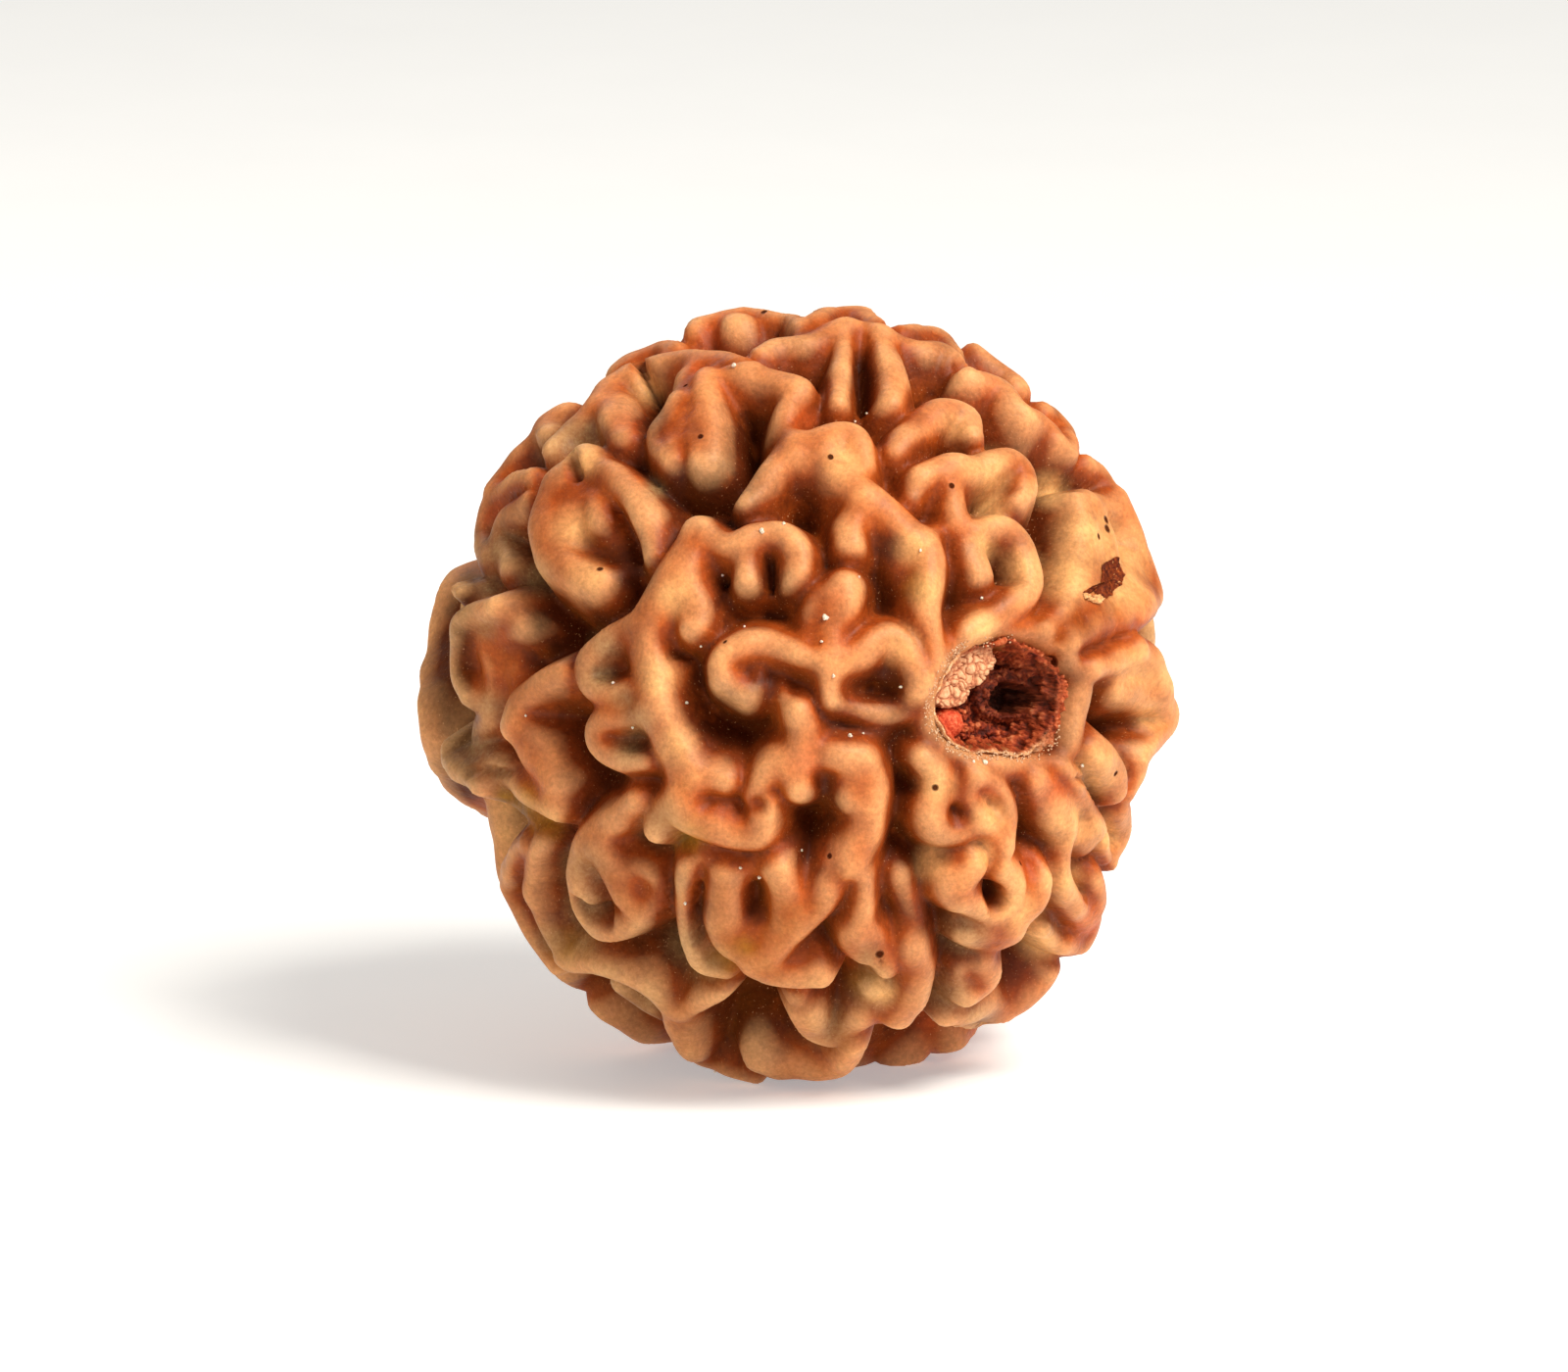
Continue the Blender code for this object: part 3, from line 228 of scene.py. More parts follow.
PORES = (
    (715, 447, 3.5), (847, 468, 3.5), (970, 497, 3.5), (780, 324, 4), (1120, 548, 4), (1137, 789, 3.5),
    (953, 803, 4), (897, 972, 5), (919, 1044, 4.5), (1128, 531, 5), (1129, 540, 5), (1166, 560, 6),
    (613, 581, 4), (1067, 675, 9), (1040, 880, 3), (846, 872, 3.5), (700, 395, 3), (740, 655, 3),
)
WHITE_GRAINS = (
    (758, 408, 3.2), (778, 543, 3.4), (738, 588, 1.8), (842, 631, 4.2), (702, 717, 2.2), (627, 697, 2.2),
    (647, 742, 2.0), (918, 701, 2.4), (867, 750, 3.0), (1003, 777, 3.6), (1102, 780, 2.6), (538, 730, 1.8),
    (700, 920, 2.2), (746, 1037, 2.4), (740, 1055, 2.0), (872, 432, 1.8), (884, 424, 1.8), (800, 536, 2.2),
    (938, 563, 2.0), (876, 590, 1.8), (775, 893, 3.0), (756, 884, 1.8), (850, 690, 2.4), (838, 655, 2.0),
    (760, 640, 1.8), (716, 660, 1.6), (992, 776, 2.2), (1000, 611, 2.2), (880, 748, 1.6), (818, 866, 1.8),
)

# Finding a pixel's place on the finished skin: the height it starts from, rounds, and the share of each step.
PLACE_START = 0.97
PLACE_ROUNDS = 8
PLACE_STEP = 0.6

# The torn spot on the right lobe: its outline and the flap's, in the photograph's pixels.
TORN_OUTLINE = (
    (1123, 577), (1130, 572), (1140, 568), (1141, 577), (1146, 587), (1143, 597), (1136, 601),
    (1133, 608), (1127, 611), (1119, 607), (1112, 604), (1104, 609), (1103, 605), (1112, 599), (1121, 596),
)
FLAP_OUTLINE = (
    (1103, 606), (1110, 609), (1118, 608), (1124, 612), (1120, 617), (1111, 614), (1105, 611),
)

# A scrap's rings from its edge inwards, points to a side, how ragged its edge is in pixels, and
# millimetres: how far its edge and its middle stand off the skin, and how uneven it is.
SCRAP_RINGS = (1, 0.9, 0.8, 0.68, 0.56, 0.44, 0.32, 0.2, 0.1)
SCRAP_STEPS = 6
SCRAP_RAGGED = 0.45
SCRAP_EDGE_LIFT = 0.025
SCRAP_UNEVEN = 0.02
TORN_LIFT = 0.03
FLAP_LIFT = 0.12

# The lining of the mouth: the patch of pixels it covers and its spacing, at the height of the rim.
LINING_PATCH = (938, 1102, 643, 786)
LINING_STEP = 0.75
LINING_ROUNDS = 12

# Shares: the lining's outline in that of the mouth, where its wall starts and how much nearer to the
# middle it starts at the right, where the wall ends, where the lip lies, and where the skin hides it.
LINING_SHARE = 0.965
WALL_START = 0.86
WALL_START_RIGHT = 0.14
WALL_END = 0.985
WALL_CURVE = 1.4
LIP_SPAN = (0.97, 0.99)
UNDER_SKIN_SPAN = (1.01, 1.06)

# Waves of the lining's outline: (share, waves round the mouth, shift).
LINING_WAVES = ((0.020, 7, 1), (0.014, 13, 0), (0.010, 23, 2))

# Heights of the lining: its lip, its floor, the hole in it, the arch round the hole, and under the skin.
# The floor's bumps are an amount and their width and height in pixels. It climbs over a span of pixels.
LIP_HEIGHT = 0.949
LINING_FLOOR_HEIGHT = 0.815
FLOOR_BUMPS = (0.012, 9, 7)
FLOOR_CLIMB = 0.03
FLOOR_CLIMB_SPAN = (738, 775)
HOLE_HEIGHT = 0.765
ARCH_RISE = 0.035
BALL_ROUND = 0.05
UNDER_SKIN_HEIGHT = 0.925

# Parts of the lining: (x, y, half width, half height) in the photograph's pixels, then the height.
PITH = (((984, 684, 27, 22), 0.905), ((1000, 674, 18, 16), 0.915), ((967, 706, 25, 18), 0.90))
RED_BALL = ((971, 739, 17, 17), 0.905)
BALL_CUP = ((975, 741, 20, 20), 0.865)
DARK_HOLE = ((1020, 712, 19, 17), 0.815)
HOLE_ARCH = ((1020, 708, 33, 31), 0.84)

# Millimetres: the crumbs of the pith and the wall, how bent they are, and how far they and the torn wall
# stand in and out.
PITH_CRUMB = 0.25
WALL_CRUMB = 0.27
CRUMB_BEND = 0.20
CRUMB_BEND_WAVES = 3
CRUMB_SEED = 3
PITH_RELIEF = 0.10
WALL_RELIEF = 0.06
TORN_RELIEF = 0.11
LIP_RELIEF = 0.02
TORN_WAVES = 3.2

# Grains of pale crumbs along the mouth's edge: (degrees round the mouth, how many), how far they spread
# in degrees and as a share of the outline, their radius in pixels and the height they lie at.
CRUMB_ARCS = ((140, 90), (175, 60), (205, 70), (235, 90), (265, 60), (290, 50), (320, 25), (95, 30))
CRUMB_SPREAD = 17
CRUMB_REACH = (0.95, 1.10)
CRUMB_SQUEEZE = 0.95
CRUMB_RADIUS = (0.6, 1.7)
CRUMB_HEIGHT = 0.955
CRUMB_SHAPE = (0.7, 0.7)
GRAIN_SHAPE = (0.75, 0.5)
GRAIN_SUNK = 0.35

# Patterns: (millimetres, detail, roughness).
BROAD_CLOUDS = (3.2, 4.0, 0.55)
CLOUDS = (0.9, 5.0, 0.6)
RUST_CLOUDS = (1.7, 4.0, 0.6)
SPECKLE = (0.16, 4.0, 0.7)
POWDER = (0.08, 2.0, 0.6)

# Colours, written as a screen's values. The shell's go from its furrows to its flanks; the dark furrow end is
# partly the shell's own colour and partly painted shade.
SHELL_COLOURS = (
    (0.0, (82, 31, 9)), (0.22, (106, 42, 11)), (0.42, (130, 53, 14)), (0.60, (156, 67, 18)),
    (0.80, (186, 90, 32)), (1.0, (214, 124, 60)),
)
RED_TONE = (206, 88, 40)
RUST_TONE = (180, 80, 24)
YELLOW_TONE = (168, 128, 34)
FILM_TONE = (146, 118, 78)
GRIME_AND_SHADE_TONE = (112, 60, 20)
# Painted highlight on the crests.
CREST_HIGHLIGHT_TONE = (248, 194, 134)
PALE_TONE = (246, 186, 118)
POWDER_TONE = (220, 164, 118)
PORE_TONE = (60, 18, 5)
MOUTH_COLOURS = (
    (0.0, (38, 9, 4)), (0.3, (88, 25, 10)), (0.55, (138, 48, 22)), (0.8, (184, 84, 46)),
    (1.0, (214, 134, 90)),
)
WALL_TONE = (186, 92, 48)
PITH_COLOURS = ((0.0, (156, 84, 58)), (0.25, (196, 124, 88)), (0.6, (216, 150, 108)), (1.0, (236, 186, 144)))
BALL_COLOURS = ((0.0, (150, 38, 20)), (0.5, (206, 76, 44)), (1.0, (236, 134, 92)))
LIP_COLOURS = ((0.0, (170, 98, 54)), (0.5, (214, 154, 104)), (1.0, (240, 206, 170)))
SHADE_TONE = (58, 22, 10)
HOLE_SHADE_TONE = (52, 22, 12)
CRUMB_COLOURS = ((0.3, (176, 116, 74)), (0.7, (232, 196, 158)))
TORN_COLOURS = ((0.36, (66, 20, 6)), (0.50, (108, 40, 12)), (0.62, (150, 66, 22)), (0.74, (206, 126, 62)))
FLAP_COLOURS = ((0.3, (190, 112, 56)), (0.7, (240, 184, 122)))
DUST_COLOURS = ((0.3, (196, 170, 140)), (0.7, (246, 236, 222)))
PAPER_COLOURS = ((0.0, (243, 242, 240)), (1.0, (248, 247, 245)))

# How far the limb of the stone stands out from the egg shape: (degrees round the face, share).
LIMB_SHARES = (
    (0, 1.01), (30, 0.99), (60, 1.0), (90, 0.995), (112, 1.0), (130, 1.03), (148, 1.08),
    (165, 1.05), (182, 1.01), (200, 1.01), (220, 1.045), (240, 1.045), (260, 1.025),
    (285, 1.005), (305, 0.995), (320, 0.995), (335, 0.955), (348, 0.985),
)

# Ridges of each lobe: height, then (x, y, half width) in the photograph's pixels, along the ridge.
RIDGES = {
    "crown_far_left": {
        "crown_far_left": (1, ((503, 497, 16), (522, 466, 22), (550, 440, 24), (585, 428, 22))),
        "knob": (0.995, ((578, 433, 24), (570, 452, 18))),
    },
    "crown_left": {
        "knob": (1, ((632, 382, 22), (660, 374, 27), (690, 368, 18))),
    },
    "crown_top": {
        "knob": (1.01, ((712, 346, 15), (735, 332, 22), (756, 345, 24))),
        "arch": (1, ((764, 328, 12), (785, 330, 13), (812, 333, 12), (820, 344, 11))),
    },
    "crown_edge": {
        "crown_right_edge": (1, ((918, 345, 14), (950, 350, 18), (972, 362, 14))),
    },
    "crown_edge_knob": {
        "crown_right_knob": (1, ((992, 366, 17), (1016, 384, 22), (1034, 402, 20))),
    },
    "crown_edge_low": {
        "crown_right_low": (1, ((1062, 424, 18), (1078, 440, 22), (1086, 462, 18))),
    },
    "crown_edge_last": {
        "crown_right_last": (0.995, ((1104, 478, 16), (1122, 494, 15), (1136, 510, 10))),
    },
    "brow": {
        "mass": (0.925, ((600, 430, 34), (640, 420, 34), (730, 420, 40), (790, 410, 36))),
        "brow": (1, ((573, 466, 16), (588, 452, 20), (606, 438, 22), (622, 416, 23), (645, 395, 21),
            (690, 379, 20), (735, 379, 20), (766, 388, 16))),
        "body": (0.99, ((630, 415, 24), (637, 435, 26), (642, 456, 24))),
        "inner": (0.985, ((704, 392, 16), (698, 415, 17))),
        "lobe": (0.995, ((696, 424, 18), (682, 440, 20), (678, 456, 19), (690, 474, 15))),
        "tongue": (1.01, ((722, 398, 18), (724, 428, 21), (724, 452, 23), (722, 472, 21))),
        "tongue_web": (0.99, ((700, 430, 20), (702, 458, 18))),
        "right": (1, ((726, 396, 18), (760, 394, 18), (795, 402, 22), (812, 412, 27))),
        "link": (0.99, ((804, 428, 17), (799, 446, 15))),
    },
    "bridge": {
        "mass": (0.955, ((840, 492, 34), (895, 545, 24), (922, 590, 26), (934, 640, 20))),
        "web": (0.98, ((936, 556, 15), (958, 548, 14), (976, 542, 12))),
        "middle_top": (1.01, ((818, 470, 26), (848, 460, 27), (868, 458, 25), (878, 480, 17))),
        "middle_top_left": (0.995, ((808, 455, 18), (794, 482, 18), (776, 504, 16), (762, 518, 12))),
        "crest": (1.01, ((845, 475, 20), (862, 498, 21), (884, 514, 21), (907, 530, 20), (928, 549, 19),
            (945, 567, 18), (948, 592, 17), (944, 622, 17), (947, 650, 15), (953, 678, 11))),
        "lobe": (1, ((880, 520, 18), (868, 542, 20), (867, 560, 19))),
    },
    "crown": {
        "mass": (0.945, ((880, 362, 26), (935, 385, 30), (962, 392, 24))),
        "peak": (1.01, ((834, 336, 14), (852, 328, 18), (874, 328, 18), (892, 336, 14))),
        "crest": (1, ((776, 368, 14), (800, 360, 17), (828, 358, 18), (852, 352, 18), (880, 348, 18),
            (905, 356, 18), (932, 364, 18), (960, 371, 21), (986, 388, 15), (1012, 404, 21),
            (1040, 427, 16), (1062, 440, 20), (1078, 449, 13))),
        "spur": (0.985, ((864, 352, 13), (859, 380, 13), (856, 414, 11))),
        "tongue": (1, ((898, 358, 17), (907, 380, 19), (913, 402, 20), (910, 418, 17))),
    },
    "arch": {
        "right": (0.995, ((914, 466, 18), (932, 446, 22), (958, 432, 25), (982, 436, 22), (994, 450, 15))),
    },
    "curl": {
        "mass": (0.9, ((950, 460, 30), (1000, 500, 30), (1010, 580, 30))),
        "top": (1.01, ((938, 490, 16), (962, 484, 18), (992, 484, 18), (1018, 477, 18), (1036, 482, 20),
            (1044, 500, 18), (1040, 512, 14))),
        "hook": (0.985, ((932, 498, 15), (928, 512, 12))),
        "stem": (1, ((967, 490, 17), (970, 515, 17), (974, 540, 18), (984, 562, 20), (992, 580, 20),
            (998, 592, 17))),
        "lower": (1, ((996, 546, 15), (1020, 545, 18), (1036, 560, 19), (1046, 582, 18), (1046, 602, 18),
            (1034, 618, 18), (1010, 634, 18), (985, 648, 15))),
    },
    "right_lobe": {
        "mass": (0.985, ((1108, 534, 28), (1116, 562, 32), (1114, 600, 32), (1100, 634, 24))),
        "left": (0.985, ((1094, 524, 22), (1097, 548, 27), (1096, 578, 28), (1090, 606, 25),
            (1078, 630, 20), (1062, 643, 15))),
        "top": (0.99, ((1104, 516, 20), (1126, 522, 22), (1146, 534, 20))),
        "body": (0.99, ((1122, 528, 26), (1138, 552, 28), (1144, 582, 30), (1134, 614, 30), (1110, 640, 24),
            (1086, 654, 16))),
        "side": (0.995, ((1138, 518, 22), (1154, 550, 26), (1160, 582, 28), (1152, 614, 26),
            (1134, 634, 20))),
        "limb": (1.0, ((1146, 520, 20), (1162, 548, 22), (1170, 578, 22), (1164, 610, 22),
            (1148, 632, 18))),
    },
    "ear": {
        "mass": (0.99, ((586, 508, 28), (590, 530, 28), (590, 552, 26))),
        "mound": (0.985, ((602, 506, 26), (616, 520, 28), (622, 536, 24))),
        "floor": (0.93, ((638, 558, 26), (652, 580, 20))),
        "outer": (1.005, ((604, 476, 22), (584, 494, 24), (570, 518, 27), (568, 548, 27), (576, 574, 26),
            (598, 590, 24), (616, 598, 24))),
        "inner": (1, ((606, 476, 20), (626, 488, 19), (646, 502, 20), (660, 520, 22), (668, 542, 18),
            (670, 565, 13))),
    },
    "ear_side": {
        "ear_lobe": (0.98, ((546, 520, 18), (528, 538, 24), (520, 562, 22), (528, 588, 18))),
        "ear_edge": (0.99, ((548, 490, 13), (522, 503, 18), (506, 526, 20), (500, 555, 18),
            (505, 580, 14))),
    },
    "left": {
        "mass": (0.965, ((530, 650, 30), (545, 700, 34), (560, 760, 36))),
        "top": (1.005, ((514, 644, 24), (534, 638, 20))),
        "edge": (1, ((512, 668, 24), (514, 700, 24), (508, 728, 22), (500, 752, 20), (508, 776, 20),
            (530, 796, 18), (556, 812, 16), (574, 824, 13))),
        "fold": (1.01, ((580, 688, 15), (556, 700, 18), (538, 716, 20), (530, 738, 18))),
        "body": (1, ((548, 742, 28), (562, 768, 32), (578, 794, 26))),
        "neck": (0.965, ((522, 812, 10), (545, 824, 12), (558, 838, 12), (560, 852, 12))),
    },
    "face": {
        "mass": (0.885, ((700, 640, 44), (700, 720, 44), (730, 800, 40))),
        "spine": (1.015, ((716, 548, 21), (704, 572, 25), (690, 600, 28), (668, 634, 28), (662, 662, 27),
            (670, 690, 25), (674, 716, 25), (684, 745, 25), (698, 772, 25), (706, 800, 24),
            (708, 828, 20))),
        "crown": (1.01, ((716, 545, 18), (745, 558, 16), (772, 551, 17), (798, 551, 18), (815, 565, 17),
            (818, 585, 14))),
        "crown_tooth": (0.995, ((763, 560, 14), (765, 580, 15), (765, 594, 14))),
        "crown_tooth_right": (0.99, ((806, 565, 13), (806, 582, 13), (808, 596, 11))),
        "knob": (1.01, ((708, 575, 16), (706, 598, 19), (712, 622, 21), (713, 638, 19))),
        "cup_mass": (0.94, ((630, 682, 20), (632, 684, 20))),
        "cup_mass_low": (0.94, ((640, 754, 20), (650, 752, 20))),
        "cup_upper": (1, ((645, 642, 17), (624, 655, 18), (608, 670, 17), (602, 688, 16), (610, 703, 15),
            (628, 708, 14), (645, 702, 12))),
        "cup_lower": (1, ((668, 728, 15), (642, 730, 17), (620, 736, 18), (612, 750, 18), (620, 766, 16),
            (640, 776, 14), (660, 776, 11))),
        "chin_left": (1, ((694, 812, 18), (678, 832, 20), (674, 842, 18))),
        "chin": (1.015, ((706, 826, 22), (726, 836, 24), (750, 846, 22), (770, 848, 20), (778, 832, 17),
            (780, 820, 14))),
        "bulge": (1, ((708, 782, 17), (728, 790, 18), (742, 796, 16))),
    },
    "middle": {
        "mass": (0.925, ((850, 660, 34), (900, 700, 34), (890, 740, 34))),
        "hook_outer": (1.01, ((740, 690, 13), (740, 676, 14), (756, 664, 16), (778, 658, 16),
            (800, 663, 14), (820, 670, 12), (836, 675, 10))),
        "hook_inner": (0.99, ((744, 694, 14), (756, 702, 16), (766, 708, 16))),
        "hook_rim": (0.97, ((778, 690, 8), (793, 704, 8), (808, 718, 9))),
        "knob": (1.01, ((862, 604, 23), (860, 622, 22), (850, 642, 19), (846, 665, 13), (845, 700, 10),
            (846, 715, 8))),
        "knob_left": (0.985, ((838, 610, 16), (830, 628, 15), (826, 648, 12))),
        "wing": (1.01, ((850, 682, 15), (876, 668, 19), (902, 655, 20), (920, 662, 19), (930, 678, 18),
            (938, 695, 16), (936, 708, 13))),
        "wing_lower": (0.965, ((855, 720, 14), (890, 728, 13), (925, 728, 13))),
    },
    "knuckle": {
        "mass": (0.9, ((840, 770, 30), (870, 800, 30), (850, 880, 30))),
        "knuckle": (1.01, ((816, 726, 15), (822, 748, 20), (818, 772, 21), (814, 788, 20), (816, 802, 17))),
        "left": (1, ((798, 772, 16), (786, 784, 16), (778, 796, 14), (770, 812, 12))),
        "link": (1, ((822, 766, 16), (850, 770, 16), (874, 774, 16))),
        "pier": (1.01, ((850, 770, 16), (876, 774, 19), (886, 790, 20), (889, 808, 19), (886, 830, 18),
            (880, 850, 20), (870, 876, 20))),
        "pier_tooth": (0.995, ((866, 790, 14), (864, 806, 14), (868, 818, 12))),
        "pier_foot": (0.985, ((864, 866, 22), (848, 888, 24), (838, 904, 22))),
    },
    "inner_curl": {
        "mass": (0.94, ((950, 810, 26), (1000, 825, 30))),
        "crest": (1, ((942, 774, 16), (954, 786, 20), (954, 806, 22), (950, 826, 22), (962, 844, 20),
            (982, 842, 17), (998, 834, 13))),
        "inner_loop": (1, ((990, 790, 13), (986, 812, 14), (1000, 836, 15), (1012, 858, 16),
            (1012, 880, 16))),
        "inner_loop_right": (1, ((1000, 792, 12), (1016, 808, 14), (1024, 830, 15), (1020, 856, 14))),
    },
    "sheet": {
        "mass": (0.975, ((1045, 795, 22), (1072, 822, 28), (1095, 850, 26))),
        "rim": (0.99, ((1080, 784, 11), (1095, 802, 12), (1110, 826, 12), (1120, 850, 12),
            (1124, 870, 12))),
        "body": (0.985, ((1048, 796, 20), (1062, 818, 24), (1078, 842, 22))),
        "knob": (0.995, ((1082, 866, 14), (1080, 882, 16), (1080, 894, 14))),
    },
    "right_edge": {
        "mass": (0.972, ((1126, 702, 26), (1162, 712, 26), (1168, 730, 22))),
        "low_mass": (0.91, ((1150, 760, 26), (1120, 800, 24))),
        "right_rim": (1.01, ((1152, 662, 18), (1166, 674, 19), (1174, 696, 19), (1180, 720, 20),
            (1180, 738, 20), (1172, 754, 18), (1160, 772, 16), (1154, 792, 16), (1148, 808, 14))),
        "right_tongue": (1, ((1146, 668, 17), (1126, 676, 17), (1110, 682, 15))),
    },
    "right_egg": {
        "right_egg": (1, ((1106, 764, 20), (1118, 778, 23), (1128, 794, 22), (1132, 804, 18))),
    },
    "right_low": {
        "edge": (1, ((1140, 822, 15), (1138, 848, 16), (1128, 872, 16))),
    },
    "notch": {
        "mass": (0.94, ((612, 870, 34), (630, 910, 34), (670, 900, 24))),
        "ridge": (1.005, ((652, 818, 15), (632, 834, 17), (608, 850, 19), (600, 874, 20), (600, 902, 20),
            (604, 926, 20), (618, 942, 19), (636, 942, 18), (654, 930, 15))),
        "lobe": (1.01, ((618, 862, 17), (630, 880, 21), (640, 898, 22), (643, 908, 20))),
        "right": (0.975, ((655, 882, 14), (672, 896, 14), (672, 915, 14))),
    },
    "low_left": {
        "sheet": (0.99, ((560, 852, 13), (552, 872, 15), (548, 900, 15), (554, 926, 15), (566, 948, 16),
            (580, 964, 17))),
    },
    "low_left_edge": {
        "low_left_edge": (1, ((542, 856, 12), (530, 872, 16), (525, 896, 17), (528, 920, 17),
            (540, 944, 17), (554, 968, 17), (568, 984, 14))),
    },
    "ledge": {
        "mass": (0.93, ((640, 1000, 24), (690, 1020, 30))),
        "ledge": (0.99, ((578, 972, 14), (602, 978, 14), (632, 984, 15), (662, 998, 18), (690, 1018, 22),
            (704, 1040, 26), (716, 1060, 24), (728, 1074, 20))),
        "spur": (0.98, ((702, 1022, 16), (722, 1012, 15), (738, 1004, 12))),
    },
    "bag": {
        "mass": (0.955, ((740, 900, 34), (765, 940, 38), (790, 970, 30))),
        "sheet": (0.985, ((706, 880, 13), (702, 905, 13), (701, 932, 13), (708, 956, 14), (720, 976, 16),
            (742, 984, 15))),
        "left": (1.01, ((742, 890, 20), (742, 912, 23), (742, 936, 25), (750, 956, 22), (764, 968, 18))),
        "top": (0.975, ((722, 868, 14), (750, 880, 14), (778, 880, 12))),
        "right": (1.01, ((792, 884, 18), (802, 906, 22), (804, 928, 23), (796, 950, 20), (782, 968, 19))),
        "slope": (1, ((842, 900, 22), (826, 922, 22), (810, 940, 18))),
        "saddle": (0.99, ((772, 942, 20), (776, 960, 18))),
        "base": (1.01, ((768, 980, 17), (792, 985, 20), (815, 988, 20), (832, 988, 19))),
        "drip": (0.975, ((812, 1006, 14), (812, 1012, 14))),
    },
    "stalk": {
        "stalk": (1, ((880, 890, 11), (880, 912, 13), (878, 935, 17), (888, 952, 20), (898, 970, 18),
            (904, 986, 13))),
        "shoulder": (0.98, ((864, 938, 18), (868, 956, 18), (878, 968, 14))),
        "nose": (1.01, ((928, 962, 17), (934, 985, 22), (926, 1008, 24), (916, 1028, 22))),
        "nose_slope": (0.96, ((915, 890, 20), (925, 920, 22), (928, 946, 22))),
        "nose_root": (0.975, ((890, 1000, 18), (888, 1026, 18))),
        "drop": (0.99, ((822, 1022, 22), (836, 1040, 24), (854, 1042, 22), (876, 1032, 16))),
    },
    "base": {
        "mass": (0.93, ((780, 1058, 28), (850, 1058, 28))),
        "lobe": (1.01, ((776, 1078, 20), (800, 1080, 23), (830, 1080, 23), (856, 1074, 22),
            (872, 1060, 16))),
        "left": (1, ((740, 1082, 14), (756, 1090, 13), (770, 1090, 13))),
    },
    "ring": {
        "mass": (0.955, ((985, 895, 34), (1030, 900, 40), (1005, 945, 34))),
        "left": (1.01, ((985, 874, 16), (968, 890, 20), (964, 904, 18), (974, 914, 15))),
        "ring": (1.015, ((990, 880, 14), (982, 900, 14), (990, 918, 16), (1008, 922, 18), (1024, 912, 18),
            (1028, 896, 16), (1018, 882, 13))),
        "body": (1.01, ((1008, 934, 24), (1028, 924, 28), (1046, 906, 24), (1056, 894, 18))),
        "base": (0.99, ((982, 944, 20), (1004, 948, 22), (1026, 942, 20))),
    },
    "drape": {
        "right_drape": (1, ((1084, 896, 14), (1088, 914, 16), (1096, 930, 20), (1096, 946, 20),
            (1082, 958, 15))),
        "right_drape_edge": (1, ((1110, 892, 17), (1112, 914, 18), (1108, 934, 18), (1098, 950, 16))),
        "right_drape_left": (0.975, ((1062, 946, 12), (1070, 956, 13), (1082, 962, 12))),
    },
    "plug": {
        "mass": (0.93, ((985, 1000, 30), (1035, 1000, 26))),
        "plug": (1, ((1000, 974, 17), (1004, 988, 19), (996, 1000, 17), (984, 1008, 13))),
        "body": (0.98, ((978, 980, 18), (976, 1000, 18))),
        "low_right": (1, ((1066, 984, 16), (1052, 1004, 20), (1032, 1018, 22), (1010, 1022, 22),
            (984, 1024, 20), (964, 1030, 17))),
        "low_right_rim": (0.985, ((1020, 1038, 12), (1000, 1042, 12), (978, 1040, 12))),
    },
    "mouth_surround": {
        "ring": (0.968, ((944, 694, 15), (941, 722, 15), (947, 750, 15), (966, 771, 15), (1002, 782, 16),
            (1042, 784, 16), (1074, 776, 15), (1088, 748, 15), (1096, 714, 15), (1096, 690, 15),
            (1082, 668, 15), (1060, 650, 14), (1034, 642, 14), (1004, 644, 13), (978, 652, 13),
            (957, 670, 14), (944, 694, 15))),
    },
}

# Lobes that lie behind the stone's outline and still show past it.
BEHIND = {
    "under_ledge": {
        "near": (1.0, ((572, 986, 14), (605, 994, 18), (640, 1008, 20), (664, 1034, 20))),
    },
    "under_ledge_far": {
        "far": (1.03, ((622, 1018, 24), (645, 1034, 28), (672, 1044, 22), (700, 1052, 16))),
    },
    "base_far": {
        "left": (1.01, ((905, 1062, 20), (915, 1078, 22), (932, 1074, 18))),
        "right": (1.01, ((945, 1056, 18), (965, 1058, 20), (985, 1046, 16))),
    },
    "top_far": {
        "edge": (1.0, ((940, 352, 18), (965, 362, 18), (1000, 380, 18))),
    },
}

# The trunk: it stands out past the body at the left, mostly behind the outline.
TRUNK_BEHIND = {
    "trunk": {
        "mass": (0.985, ((490, 620, 28), (482, 660, 34), (480, 710, 36), (484, 760, 34), (504, 800, 24))),
        "back": (1.02, ((508, 610, 28), (494, 650, 34), (488, 700, 36), (494, 750, 34), (514, 800, 28))),
    },
    "trunk_back": {
        "fold": (1.06, ((494, 604, 15), (486, 624, 19), (484, 650, 20), (482, 680, 20))),
        "fold_low": (1.06, ((478, 716, 20), (480, 744, 20), (488, 774, 18), (502, 802, 14))),
        "fold_back": (1.035, ((516, 636, 18), (508, 670, 22), (506, 712, 22), (514, 756, 18))),
    },
    "trunk_rim": {
        "rim": (1.12, ((496, 592, 10), (476, 586, 11), (459, 600, 11), (451, 628, 11), (447, 658, 11),
            (442, 690, 11), (438, 728, 12), (442, 764, 13), (456, 790, 14), (484, 812, 17),
            (518, 824, 15))),
    },
}
TRUNK_FRONT = {
    "trunk_fold": {
        "fold": (1.055, ((506, 620, 13), (484, 632, 14), (474, 652, 14), (473, 684, 15), (479, 712, 13))),
    },
    "trunk_knobs": {
        "bead": (1.05, ((470, 603, 8), (474, 606, 8))),
        "knobs": (1.06, ((458, 762, 11), (470, 782, 13), (488, 800, 14))),
    },
}

